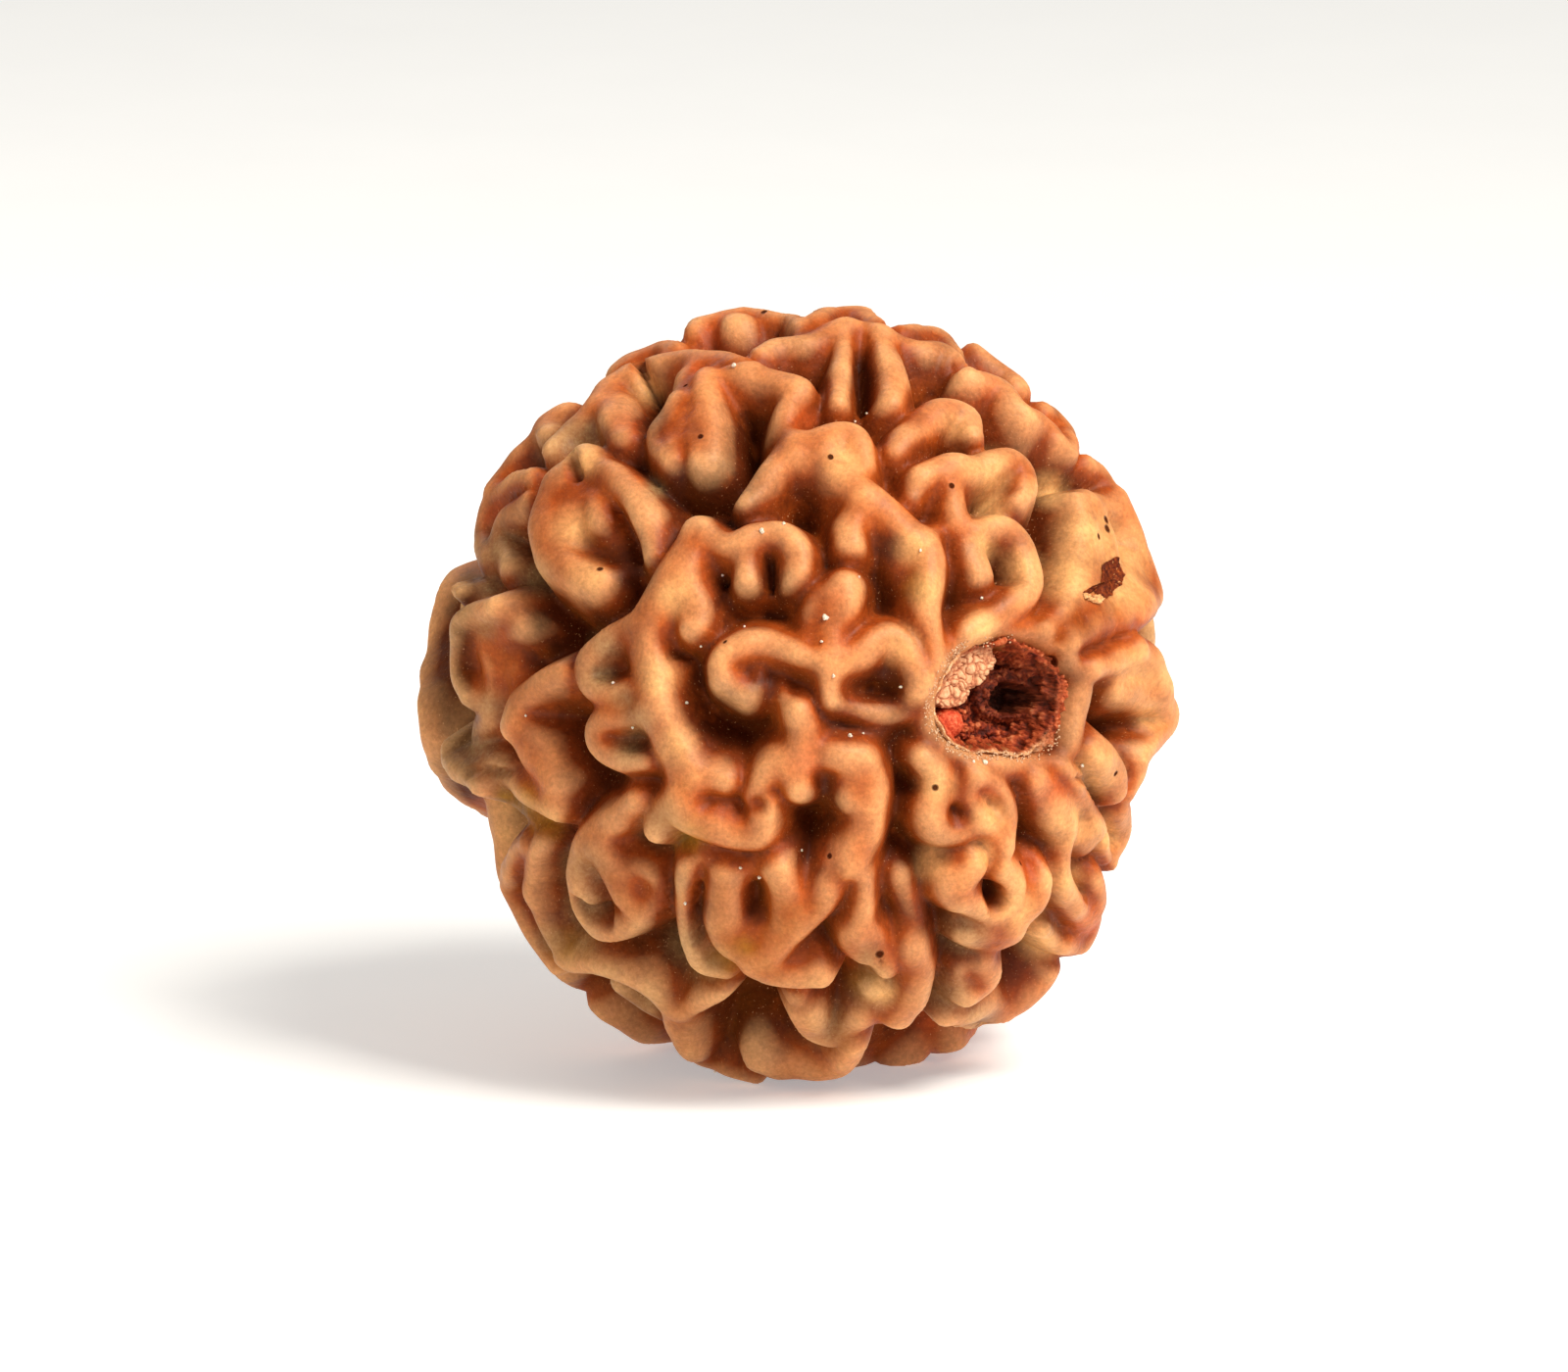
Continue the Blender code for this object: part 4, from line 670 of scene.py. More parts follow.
# Dimples, pits and slits: depth, then (x, y, half width).
HOLLOWS = {
    "brow_pit": (0.07, ((660, 386, 8), (668, 402, 12), (676, 420, 10))),
    "tongue_groove": (0.04, ((760, 420, 11), (763, 450, 14), (766, 485, 12))),
    "brow_crease": (0.015, ((738, 390, 6), (760, 387, 6), (788, 381, 6))),
    "crown_pit": (0.05, ((878, 370, 12), (880, 390, 13), (884, 410, 11))),
    "crown_pit_right": (0.04, ((958, 390, 12), (974, 388, 13))),
    "crown_hole": (0.05, ((796, 340, 7),)),
    "arch_pit": (0.05, ((966, 458, 9), (982, 458, 9))),
    "curl_hole": (0.03, ((1032, 459, 6),)),
    "curl_pit": (0.035, ((1002, 512, 12), (1022, 507, 12))),
    "curl_pit_low": (0.03, ((1018, 586, 12), (1026, 594, 12))),
    "bridge_pit": (0.03, ((936, 530, 7),)),
    "mouth_pore": (0.03, ((1075, 672, 9),)),
    "right_slit": (0.02, ((1128, 530, 5), (1129, 541, 5))),
    "right_slit_edge": (0.02, ((1166, 556, 5), (1167, 564, 5))),
    "ear_notch": (0.045, ((599, 481, 10), (600, 495, 11))),
    "ear_groove": (0.035, ((634, 522, 9), (646, 542, 12), (652, 566, 12))),
    "left_dimple": (0.02, ((503, 648, 7),)),
    "left_slit": (0.015, ((518, 741, 5), (518, 750, 5))),
    "left_pocket": (0.03, ((510, 781, 8), (530, 786, 7))),
    "face_pit": (0.03, ((690, 668, 9), (704, 668, 7))),
    "face_hole": (0.04, ((738, 592, 9),)),
    "face_groove": (0.04, ((786, 572, 7), (786, 598, 9))),
    "hook_pit": (0.025, ((786, 690, 12), (792, 704, 12))),
    "chin_dimple": (0.022, ((726, 812, 14),)),
    "chin_hole": (0.035, ((778, 813, 14),)),
    "wing_pit": (0.03, ((892, 702, 12), (908, 704, 12))),
    "inner_dimple": (0.022, ((968, 824, 15),)),
    "inner_slot": (0.03, ((922, 784, 11), (928, 802, 11))),
    "loop_dimple": (0.02, ((1004, 816, 15),)),
    "sheet_hollow": (0.022, ((1110, 850, 14),)),
    "knob_dimple": (0.03, ((1045, 880, 12),)),
    "rim_hollow": (0.055, ((1142, 750, 13), (1158, 745, 12))),
    "egg_groove": (0.03, ((1090, 790, 6), (1104, 799, 6), (1118, 820, 6))),
    "notch": (0.05, ((603, 906, 11), (614, 919, 13), (630, 928, 12))),
    "notch_upper": (0.04, ((655, 858, 10), (670, 866, 10))),
    "fold_slit": (0.03, ((596, 966, 5), (610, 966, 5))),
    "bag_slot": (0.04, ((716, 900, 8), (713, 930, 9), (716, 952, 8))),
    "bag_notch": (0.035, ((767, 904, 10), (769, 920, 10))),
    "stalk_pit": (0.015, ((897, 972, 4),)),
    "nose_dot": (0.015, ((919, 1044, 4),)),
    "ring_hole": (0.1, ((1002, 899, 14), (1005, 907, 14))),
    "drape_slot": (0.05, ((1096, 896, 6), (1098, 908, 6))),
    "rim_slot": (0.04, ((996, 1038, 6), (1008, 1035, 7), (1016, 1038, 6))),
}


def unit(points):
    return points / np.linalg.norm(points, axis=1, keepdims=True)


def eased(value, low, high):
    share = np.clip((value - low) / (high - low), 0, 1)
    return share * share * (3 - 2 * share)


def around(angle, table):
    """Value at an angle in degrees, eased between the table's angles, all the way round."""
    angles = np.array([row[0] for row in table] + [table[0][0] + 360.0])
    values = np.array([row[1] for row in table] + [table[0][1]])
    angle = np.mod(angle - angles[0], 360.0) + angles[0]
    after = np.clip(np.searchsorted(angles, angle, side="right"), 1, len(angles) - 1)
    share = eased(angle, angles[after - 1], angles[after])
    return values[after - 1] * (1 - share) + values[after] * share


def limb_share(directions):
    """How far the egg shape is stretched: fully at the limb, not at all towards the viewer."""
    turn = np.degrees(np.arctan2(directions[:, 1], directions[:, 0]))
    from_axis = directions[:, 0] ** 2 + directions[:, 1] ** 2
    return 1 + (around(turn, LIMB_SHARES) - 1) * from_axis**2


def body_radius(directions):
    """Radius of the smooth body in millimetres along unit directions: right, up, to the viewer."""
    egg = directions / np.array([HALF_WIDTH, HALF_HEIGHT, HALF_DEPTH])
    return limb_share(directions) / np.linalg.norm(egg, axis=1)


def on_body(x, y, height=1.0, side=1):
    """Points of the smooth body under pixels of the photograph: side 1 faces the viewer, -1 is behind."""
    right = (np.asarray(x, float) - MIDDLE_X) / PIXELS_PER_MM
    up = (MIDDLE_Y - np.asarray(y, float)) / PIXELS_PER_MM
    forward = np.zeros_like(right)
    for _ in range(4):
        directions = unit(np.stack([right, up, forward], axis=1))
        reach = height * limb_share(directions)
        left_over = reach**2 - (right / HALF_WIDTH) ** 2 - (up / HALF_HEIGHT) ** 2
        forward = side * np.maximum(HALF_DEPTH * np.sqrt(np.maximum(left_over, 0)), LIMB_DEPTH)
    directions = unit(np.stack([right, up, forward], axis=1))
    return directions * body_radius(directions)[:, None]


def crest_samples(points, height, side=1):
    """Closely spaced points under a curve through the given points, with half widths.

    The points follow the middle of the ridge as the photograph shows it, one half width under its crest.
    """
    knots = np.array(points if len(points) > 1 else points * 2, float)
    padded = np.vstack([2 * knots[0] - knots[1], knots, 2 * knots[-1] - knots[-2]])
    rows = []
    for a, b, c, d in zip(padded, padded[1:], padded[2:], padded[3:], strict=False):
        length = np.linalg.norm(c[:2] - b[:2]) / PIXELS_PER_MM
        t = np.linspace(0, 1, max(int(length / SAMPLE_STEP), 1), endpoint=False)[:, None]
        rows.append(b + 0.5 * t * (c - a + t * (2 * a - 5 * b + 4 * c - d + t * (3 * (b - c) + d - a))))
    rows.append(knots[-1:])
    curve = np.vstack(rows)
    half_widths = curve[:, 2] / PIXELS_PER_MM
    depth = np.minimum(half_widths, DEEPEST_CORE) / HEIGHT_UNIT
    return on_body(curve[:, 0], curve[:, 1], height - depth, side), half_widths


def crest_drop(distance, half_width):
    """How far the skin lies below a crest, in millimetres: a round top that turns into a straight flank."""
    radius = half_width * TOP_ROUNDNESS
    edge = radius * FLANK_SLOPE / math.hypot(1, FLANK_SLOPE)
    inner = np.minimum(distance, edge)
    return radius - np.sqrt(radius**2 - inner**2) + FLANK_SLOPE * (distance - inner)


def near(points, samples, reach):
    middle = (samples.min(axis=0) + samples.max(axis=0)) / 2
    size = np.linalg.norm(samples - middle, axis=1).max() + reach
    return np.flatnonzero(((points - middle) ** 2).sum(axis=1) < size * size)


def distances(points, samples):
    apart = (points**2).sum(axis=1)[:, None] + (samples**2).sum(axis=1) - 2 * points @ samples.T
    return np.sqrt(np.maximum(apart, 0))


def ridge_heights(points, samples, half_widths, height):
    """Height of one ridge at each point: the highest that any stretch of its crest gives."""
    drops = crest_drop(distances(points, samples), half_widths)
    return height - drops.min(axis=1) / HEIGHT_UNIT


def hollow_depths(points, samples, half_widths, depth):
    share = np.minimum(distances(points, samples) / half_widths, 1).min(axis=1)
    return depth * (1 - share**2) ** 2


def ripple(points, wavelength, seed):
    """Smooth, seeded unevenness between about -1 and 1."""
    dice = np.random.default_rng(seed)
    total = np.zeros(len(points))
    for _ in range(RIPPLE_WAVES):
        direction = unit(dice.normal(size=(1, 3)))[0]
        length = wavelength * dice.uniform(0.7, 1.5)
        total += np.sin(points @ direction * (2 * math.pi / length) + dice.uniform(0, 2 * math.pi))
    return total / RIPPLE_SIZE


def bend_of(points):
    return np.stack([ripple(points, BEND_WAVE, seed) for seed in BEND_SEEDS], axis=1)


def sampled(table, side=1):
    """Each lobe of a table as a list of its ridges: height, sample points and their half widths."""
    return [
        [(height, *crest_samples(points, height, side)) for height, points in lobe.values()]
        for lobe in table.values()
    ]


def sampled_hollows():
    return [(depth, *crest_samples(points, HOLLOW_LEVEL)) for depth, points in HOLLOWS.values()]


def lobe_heights(points, lobe):
    """Height of one lobe: its ridges run into each other with wide fillets."""
    total = np.zeros(len(points))
    for height, samples, half_widths in lobe:
        found = near(points, samples, REACH + half_widths.max())
        if len(found):
            heights = ridge_heights(points[found], samples, half_widths, height)
            total[found] += np.exp(LOBE_JOIN * heights)
    return np.log(np.maximum(total, 1e-9)) / LOBE_JOIN


def pile_up(total, points, lobes, crest_limit, drop):
    """Adds each lobe, lowered by the drop, to the running sum that joins them all with tight creases."""
    for lobe in lobes:
        samples = np.vstack([row[1] for row in lobe])
        found = near(points, samples, REACH + max(row[2].max() for row in lobe))
        if not len(found):
            continue
        heights = lobe_heights(points[found], lobe)
        limit = np.exp(-LIMIT_JOIN * heights) + math.exp(-LIMIT_JOIN * crest_limit)
        heights = -np.log(limit) / LIMIT_JOIN - drop[found]
        total[found] += np.exp(JOIN_SHARPNESS * heights)


def spot_distance(points, middle):
    """Distance sideways and upwards from a spot of the body, in the plane that touches it there."""
    across = unit(np.cross([[0, 1, 0]], [middle]))[0]
    above = unit(np.cross([middle], [across]))[0]
    return (points - middle) @ across, (points - middle) @ above


def round_mouth(points):
    """Distance from the mouth's middle as a share of its outline, and the direction in degrees."""
    right, up = spot_distance(points, on_body([MOUTH[0]], [MOUTH[1]], MOUTH_RIM_HEIGHT)[0])
    angle = np.degrees(np.arctan2(up, right))
    return np.hypot(right, up) * PIXELS_PER_MM / around(angle, MOUTH_OUTLINE), angle


def mouth_height(points):
    """Ceiling of the skin in the mouth: a steep wall below the rim, a floor, and a well in the floor."""
    share, _ = round_mouth(points)
    wall = np.clip((share - 1 + MOUTH_WALL_SHARE) / MOUTH_WALL_SHARE, 0, 1)
    well_middle = on_body([WELL[0]], [WELL[1]], MOUTH_FLOOR_HEIGHT)[0]
    from_well = np.hypot(*spot_distance(points, well_middle))
    floor = np.clip((from_well - WELL_RADIUS) / WELL_WALL, 0, 1)
    floor_height = WELL_FLOOR_HEIGHT + (MOUTH_FLOOR_HEIGHT - WELL_FLOOR_HEIGHT) * floor
    wall_height = floor_height + (MOUTH_RIM_HEIGHT - floor_height) * wall
    outside = (share > 1) | (points @ well_middle < 0)
    return np.where(outside, 2.0, wall_height)


def downward(points):
    """How far each point lies below the middle of the stone."""
    return -points[:, 1] * math.cos(VIEW_ELEVATION) - points[:, 2] * math.sin(VIEW_ELEVATION)


class Stone:
    """The skin's height in every direction from the middle of the stone."""

    def __init__(self):
        self.lobes = sampled(RIDGES) + sampled(BEHIND, -1)
        self.trunk = sampled(TRUNK_FRONT) + sampled(TRUNK_BEHIND, -1)
        self.hollows = sampled_hollows()

    def floor(self, points):
        amount, wavelength, seed = FLOOR_RIPPLE
        return FLOOR_HEIGHT + amount * ripple(points, wavelength, seed)

    def hidden_drop(self, directions, variety):
        """How much lower the hidden side's ridges stand, to stay inside the outline in the photograph."""
        behind = -directions[:, 2]
        ceiling = HIDDEN_CEILING + np.where(behind > 0, HIDDEN_CLIMB, HIDDEN_FALL) * behind
        return CREST_LIMIT - np.minimum(ceiling, HIDDEN_CREST + HIDDEN_VARIETY * variety)

    def heights(self, directions):
        points = directions * body_radius(directions)[:, None]
        bend = bend_of(points)
        shown = points + SHOWN_BEND * bend
        opposite = HIDDEN_BEND * bend - points
        drop = self.hidden_drop(directions, bend[:, 0])
        level = np.zeros(len(points))
        total = np.exp(JOIN_SHARPNESS * self.floor(points))
        pile_up(total, shown, self.lobes, CREST_LIMIT, level)
        pile_up(total, shown, self.trunk, TRUNK_LIMIT, level)
        pile_up(total, opposite, self.lobes, CREST_LIMIT, drop)
        pile_up(total, opposite, self.trunk, CREST_LIMIT, drop + HIDDEN_TRUNK_DROP)
        heights = np.log(total) / JOIN_SHARPNESS
        for depth, samples, half_widths in self.hollows:
            for side in (points, opposite):
                found = near(side, samples, half_widths.max())
                if len(found):
                    heights[found] -= hollow_depths(side[found], samples, half_widths, depth)
        opening = mouth_height(points)
        for amount, wavelength, seed in SKIN_RIPPLES:
            heights += amount * ripple(points, wavelength, seed)
        return np.minimum(heights, opening)

    def skin(self, directions):
        """Points of the skin in millimetres, filled out round the spot that the stone rests on."""
        radius = body_radius(directions) * self.heights(directions)
        below = np.maximum(downward(directions), UNDERSIDE / 2)
        from_spot = REST_HEIGHT * np.sqrt(np.maximum(1 / below**2 - 1, 0))
        foot = (REST_HEIGHT + FOOT_DEPTH) / below - FOOT_SLOPE * np.maximum(from_spot - FOOT_RADIUS, 0)
        radius = np.where(below > UNDERSIDE, np.maximum(radius, foot), radius)
        return directions * radius[:, None]


def start_sphere(grid):
    """Unit directions on a six-sided grid, and its quads facing out."""
    steps = np.tan(np.linspace(-math.pi / 4, math.pi / 4, grid + 1))
    index = {}
    directions = []
    quads = []
    for axis in range(3):
        for sign in (1, -1):
            ids = np.empty((grid + 1, grid + 1), int)
            for i in range(grid + 1):
                for j in range(grid + 1):
                    corner = [0.0, 0.0, 0.0]
                    corner[axis] = float(sign)
                    corner[(axis + 1) % 3] = steps[i] * sign
                    corner[(axis + 2) % 3] = steps[j]
                    key = tuple(round(value, 6) for value in corner)
                    if key not in index:
                        index[key] = len(directions)
                        directions.append(corner)
                    ids[i, j] = index[key]
            for i in range(grid):
                for j in range(grid):
                    quads.append((ids[i, j], ids[i + 1, j], ids[i + 1, j + 1], ids[i, j + 1]))
    return unit(np.array(directions)), np.array(quads)


def sides_of(quads):
    """The two ends of every quad's four sides."""
    return np.concatenate([quads[:, [0, 1]], quads[:, [1, 2]], quads[:, [2, 3]], quads[:, [3, 0]]])


def relaxed(stone, directions, quads, rounds):
    """Evens out the spacing on the steep flanks, then gives the skin's points."""
    ends = sides_of(quads)
    ends = np.concatenate([ends, ends[:, ::-1]])
    count = np.bincount(ends[:, 0], minlength=len(directions))[:, None]
    points = stone.skin(directions)
    for _ in range(rounds):
        total = np.zeros_like(points)
        for axis in range(3):
            total[:, axis] = np.bincount(ends[:, 0], weights=points[ends[:, 1], axis], minlength=len(points))
        directions = unit(RELAX_HOLD * points + (1 - RELAX_HOLD) * total / count)
        points = stone.skin(directions)
    return points


def upright(points):
    """From the photograph's right, up, towards-viewer axes to X right, Y away, Z up."""
    right, up, forward = points.T
    sine, cosine = math.sin(VIEW_ELEVATION), math.cos(VIEW_ELEVATION)
    return np.stack([right, up * sine - forward * cosine, up * cosine + forward * sine], axis=1)


def split(directions, quads):
    """Halves every quad both ways."""
    pairs, which = np.unique(np.sort(sides_of(quads), axis=1), axis=0, return_inverse=True)
    sides = len(directions) + which.reshape(4, -1)
    middles = len(directions) + len(pairs) + np.arange(len(quads))
    halfway = unit(directions[pairs].sum(axis=1))
    centres = unit(directions[quads].sum(axis=1))
    corners = quads.T
    finer = [
        np.stack([corners[turn], sides[turn], middles, sides[turn - 1]], axis=1) for turn in range(4)
    ]
    return np.vstack([directions, halfway, centres]), np.concatenate(finer)


def neighbour_mean(values, quads):
    ends = sides_of(quads)
    count = np.bincount(ends.ravel(), minlength=len(values))
    total = np.bincount(ends[:, 0], weights=values[ends[:, 1]], minlength=len(values))
    total += np.bincount(ends[:, 1], weights=values[ends[:, 0]], minlength=len(values))
    return total / count


def smoothed(values, quads, rounds):
    for _ in range(rounds):
        values = (values + neighbour_mean(values, quads)) / 2
    return values


def fine_skin(stone):
    """The skin's directions, points and quads, halved and evened out in turn."""
    directions, quads = start_sphere(START_GRID)
    for index, rounds in enumerate(EVENING_ROUNDS):
        if index:
            directions, quads = split(directions, quads)
        directions = unit(relaxed(stone, directions, quads, rounds))
    points = stone.skin(directions)
    points *= np.minimum(1, REST_HEIGHT / np.maximum(downward(points), 0.01))[:, None]
    return directions, points, quads


def pixel_of(points):
    return MIDDLE_X + PIXELS_PER_MM * points[:, 0], MIDDLE_Y - PIXELS_PER_MM * points[:, 1]


def spots(pixels, table):
    """Soft round marks: 1 in the middle of a mark, 0 where it has faded out."""
    x, y = pixels
    clear = np.ones(len(x))
    for spot_x, spot_y, radius in table:
        share = ((x - spot_x) ** 2 + (y - spot_y) ** 2) / (MARK_REACH * radius) ** 2
        clear *= 1 - np.maximum(1 - share, 0) ** 2
    return 1 - clear


class Marked:
    """Marks at the photograph's pixels. The hidden side takes those of the ridge that it repeats."""

    def __init__(self, points):
        bend = bend_of(points)
        border = np.where(points[:, 0] < TRUNK_START, TRUNK_FRONT_DEPTH, 0)
        self.shown = eased(points[:, 2] - border + BORDER_WANDER * bend[:, 0], -BORDER_BLEND, BORDER_BLEND)
        self.ahead = pixel_of(points)
        self.behind = pixel_of(HIDDEN_BEND * bend - points)

    def by(self, table):
        return self.shown * spots(self.ahead, table) + (1 - self.shown) * spots(self.behind, table)


def mesh_of(name, points, faces, values=None):
    """A smooth mesh of points in millimetres, with named values at its points."""
    mesh = bpy.data.meshes.new(name)
    mesh.from_pydata((points * MM).tolist(), [], np.asarray(faces).tolist())
    mesh.shade_smooth()
    for label, row in (values or {}).items():
        layer = mesh.attributes.new(label, "FLOAT", "POINT")
        layer.data.foreach_set("value", np.asarray(row, np.float32))
    return mesh


def mesh_from(name, shape):
    mesh = bpy.data.meshes.new(name)
    shape.to_mesh(mesh)
    shape.free()
    mesh.shade_smooth()
    return mesh


def outward_of(placed, quads):
    """Outward direction of a surface at each of its points."""
    mesh = mesh_of("plain", placed, quads)
    outward = np.empty(placed.size, np.float32)
    mesh.vertices.foreach_get("normal", outward)
    bpy.data.meshes.remove(mesh)
    return outward.reshape(-1, 3).astype(float)


def show(name, mesh, material):
    """Puts a piece in the scene, riding on the stone's body, with the given finish."""
    mesh.materials.append(material)
    piece = bpy.data.objects.new(name, mesh)
    bpy.context.scene.collection.objects.link(piece)
    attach(piece, "root")
    return piece


def bead_skin(stone):
    """The whole skin, with the values that its colours follow."""
    directions, points, quads = fine_skin(stone)
    placed = upright(points) + BODY_MIDDLE
    outward = outward_of(placed, quads)
    levels = np.linalg.norm(points, axis=1) / body_radius(directions)
    nearby = np.stack([neighbour_mean(placed[:, axis], quads) for axis in range(3)], axis=1)
    trunk = eased(-points[:, 0], *TRUNK_SPAN) * eased(points[:, 2], *TRUNK_DEPTHS)
    low = eased(-points[:, 1], *LOW_SPAN) * eased(-points[:, 0], *LOW_LEFT_SPAN)
    # Painted shade on skin that faces left or down, away from the key light, plus darker skin low at the
    # left.
    grime_and_shade = np.clip(LOW_DARKENING * low - SHADE_FACING_LEFT * outward[:, 0] - SHADE_FACING_DOWN * outward[:, 2], 0, 1)
    marked = Marked(points)
    values = {name: marked.by(table) for name, table in MARKS.items()}
    # Painted shade on the trunk: its level is lowered so that its colour darkens.
    values["level"] = levels - TRUNK_SHADE * trunk
    # How far the skin lies below and bends out from its surroundings, for painted shade in hollows and a
    # painted highlight on crests.
    values["hollow"] = smoothed(levels, quads, SMOOTHING_ROUNDS) - levels
    values["bent"] = smoothed(((placed - nearby) * outward).sum(axis=1), quads, CREST_ROUNDS)
    # The dark tint: that painted shade, painted shade on the trunk, and ochre stains.
    values["grime_and_shade"] = np.max([grime_and_shade, TRUNK_SHADE_TINT * trunk, OCHRE_GRIME * marked.by(OCHRE_STAINS)], axis=0)
    return mesh_of("bead_skin", placed, quads, values)


def inside(pixels, shape):
    """1 in the middle of an oval of the lining, 0 at its edge, less outside. Its place is as seen."""
    (middle_x, middle_y, half_width, half_height), height = shape
    grown = MOUTH_RIM_HEIGHT / height
    across = (pixels[0] - MIDDLE_X - (middle_x - MIDDLE_X) * grown) / (half_width * grown)
    above = (pixels[1] - MIDDLE_Y - (middle_y - MIDDLE_Y) * grown) / (half_height * grown)
    return 1 - np.hypot(across, above)


class Lining:
    """The inside of the mouth as a height in every direction, and how far each of its parts reaches."""

    def height_and_parts(self, directions):
        points = directions * (body_radius(directions) * MOUTH_RIM_HEIGHT)[:, None]
        pixels = pixel_of(points)
        share, angle = round_mouth(points)
        share = share / LINING_SHARE
        turn = np.radians(angle)
        for amount, waves, shift in LINING_WAVES:
            share += amount * np.sin(waves * turn + shift)
        amount, wide, high = FLOOR_BUMPS
        height = LINING_FLOOR_HEIGHT + amount * np.sin(pixels[0] / wide) * np.sin(pixels[1] / high + 1)
        height += FLOOR_CLIMB * eased(pixels[1], *FLOOR_CLIMB_SPAN)
        arch = inside(pixels, HOLE_ARCH)
        height += ARCH_RISE * eased(arch, 0.0, 0.25)
        hole = eased(inside(pixels, DARK_HOLE), -0.06, 0.12)
        height += (HOLE_HEIGHT - height) * hole
        pith = np.zeros(len(points))
        for shape in PITH:
            part = eased(inside(pixels, shape), -0.05, 0.22)
            height = np.maximum(height, height + (shape[1] - height) * part)
            pith = np.maximum(pith, part)
        cup = eased(inside(pixels, BALL_CUP), 0.0, 0.2)
        height += (BALL_CUP[1] - height) * cup
        bulge = inside(pixels, RED_BALL)
        dome = RED_BALL[1] - BALL_ROUND + BALL_ROUND * np.sqrt(np.clip(1 - (1 - bulge) ** 2, 0, 1))
        height = np.maximum(height, np.where(bulge > 0, dome, 0))
        foot = WALL_START - WALL_START_RIGHT * eased(np.cos(turn), 0.3, 0.9)
        wall = np.clip((share - foot) / (WALL_END - foot), 0, 1) ** WALL_CURVE
        height += (LIP_HEIGHT - height) * wall
        height += (UNDER_SKIN_HEIGHT - height) * eased(share, *UNDER_SKIN_SPAN)
        low_left = eased(-0.7 * np.cos(turn) - 0.7 * np.sin(turn), -0.45, 0.3)
        return height, {
            "pith": pith * (1 - wall),
            "ball": eased(bulge, 0.0, 0.08) * (1 - wall),
            "lip": eased(share, *LIP_SPAN) * low_left,
            "hole": hole,
            "wall": wall,
            "shade": eased(arch, -0.35, 0.35) * (1 - pith),
        }

    def skin(self, directions):
        height, _ = self.height_and_parts(directions)
        return directions * (body_radius(directions) * height)[:, None]


def grid_patch(across, down):
    """Quads of a grid of points, facing the way that right, then up, winds."""
    index = np.arange(across * down).reshape(down, across)
    corners = (index[:-1, :-1], index[1:, :-1], index[1:, 1:], index[:-1, 1:])
    return np.stack([corner.ravel() for corner in corners], axis=1)


def crumbled(placed, pith):
    """How near each point lies to a crack between crumbs, 0 in a crack, and how rough the tear is there."""
    crumb_size = PITH_CRUMB + (WALL_CRUMB - PITH_CRUMB) * (1 - pith)
    gap = np.empty(len(placed))
    rough = np.empty(len(placed))
    noise.seed_set(CRUMB_SEED)
    for index, row in enumerate(placed):
        point = Vector(row)
        bent = point + CRUMB_BEND * noise.noise_vector(point * CRUMB_BEND_WAVES)
        nearest, second = noise.voronoi(bent / crumb_size[index])[0][:2]
        gap[index] = min(3 * (second - nearest), 1)
        rough[index] = noise.fractal(point * TORN_WAVES, 0.6, 2.2, 5)
    return gap, rough


def mouth_lining():
    left, right, top, bottom = LINING_PATCH
    x, y = np.meshgrid(np.arange(left, right, LINING_STEP), np.arange(top, bottom, LINING_STEP))
    quads = grid_patch(x.shape[1], x.shape[0])
    lining = Lining()
    directions = unit(on_body(x.ravel(), y.ravel(), MOUTH_RIM_HEIGHT))
    directions = unit(relaxed(lining, directions, quads, LINING_ROUNDS))
    _, parts = lining.height_and_parts(directions)
    placed = upright(lining.skin(directions)) + BODY_MIDDLE
    gap, rough = crumbled(placed, parts["pith"])
    crumbs = np.sqrt(gap) - 0.5
    bare = (1 - parts["pith"]) * (1 - parts["ball"]) * (1 - parts["lip"])
    push = parts["pith"] * PITH_RELIEF * crumbs
    push += bare * (TORN_RELIEF * rough + WALL_RELIEF * crumbs)
    push += parts["lip"] * LIP_RELIEF * rough
    placed += outward_of(placed, quads) * push[:, None]
    return mesh_of("mouth_lining", placed, quads, parts | {"gap": gap, "rough": rough})


def pebble(shape, middle, size, turn, subdivisions, unevenness):
    """A small uneven grain: a ball whose points are pushed in and out."""
    least, spread = unevenness
    placing = Matrix.Translation(middle) @ turn
    made = bmesh.ops.create_icosphere(shape, subdivisions=subdivisions, radius=size, matrix=placing)
    for vertex in made["verts"]:
        away = vertex.co - middle
        vertex.co = middle + away * (least + spread * noise.noise(vertex.co / size * 0.9))


def mouth_crumbs(stone):
    """Pale crumbs that stick to the mouth's torn edge."""
    dice = np.random.default_rng(8)
    rows = []
    for degrees, count in CRUMB_ARCS:
        angle = np.radians(degrees + dice.uniform(-CRUMB_SPREAD, CRUMB_SPREAD, count))
        out = around(np.degrees(angle), MOUTH_OUTLINE) * dice.uniform(*CRUMB_REACH, count)
        x = MOUTH[0] + out * np.cos(angle) * CRUMB_SQUEEZE
        y = MOUTH[1] - out * np.sin(angle)
        rows += list(zip(x, y, dice.uniform(*CRUMB_RADIUS, count), strict=True))
    x, y, radius = np.array(rows).T
    directions = unit(on_body(x, y, CRUMB_HEIGHT))
    reach = np.maximum(stone.heights(directions), LIP_HEIGHT)
    points = upright(directions * (body_radius(directions) * reach)[:, None]) + BODY_MIDDLE
    shape = bmesh.new()
    for point, size in zip(points * MM, radius / PIXELS_PER_MM * MM, strict=True):
        pebble(shape, Vector(point), size, Matrix.Identity(4), 1, CRUMB_SHAPE)
    return mesh_from("mouth_crumbs", shape)


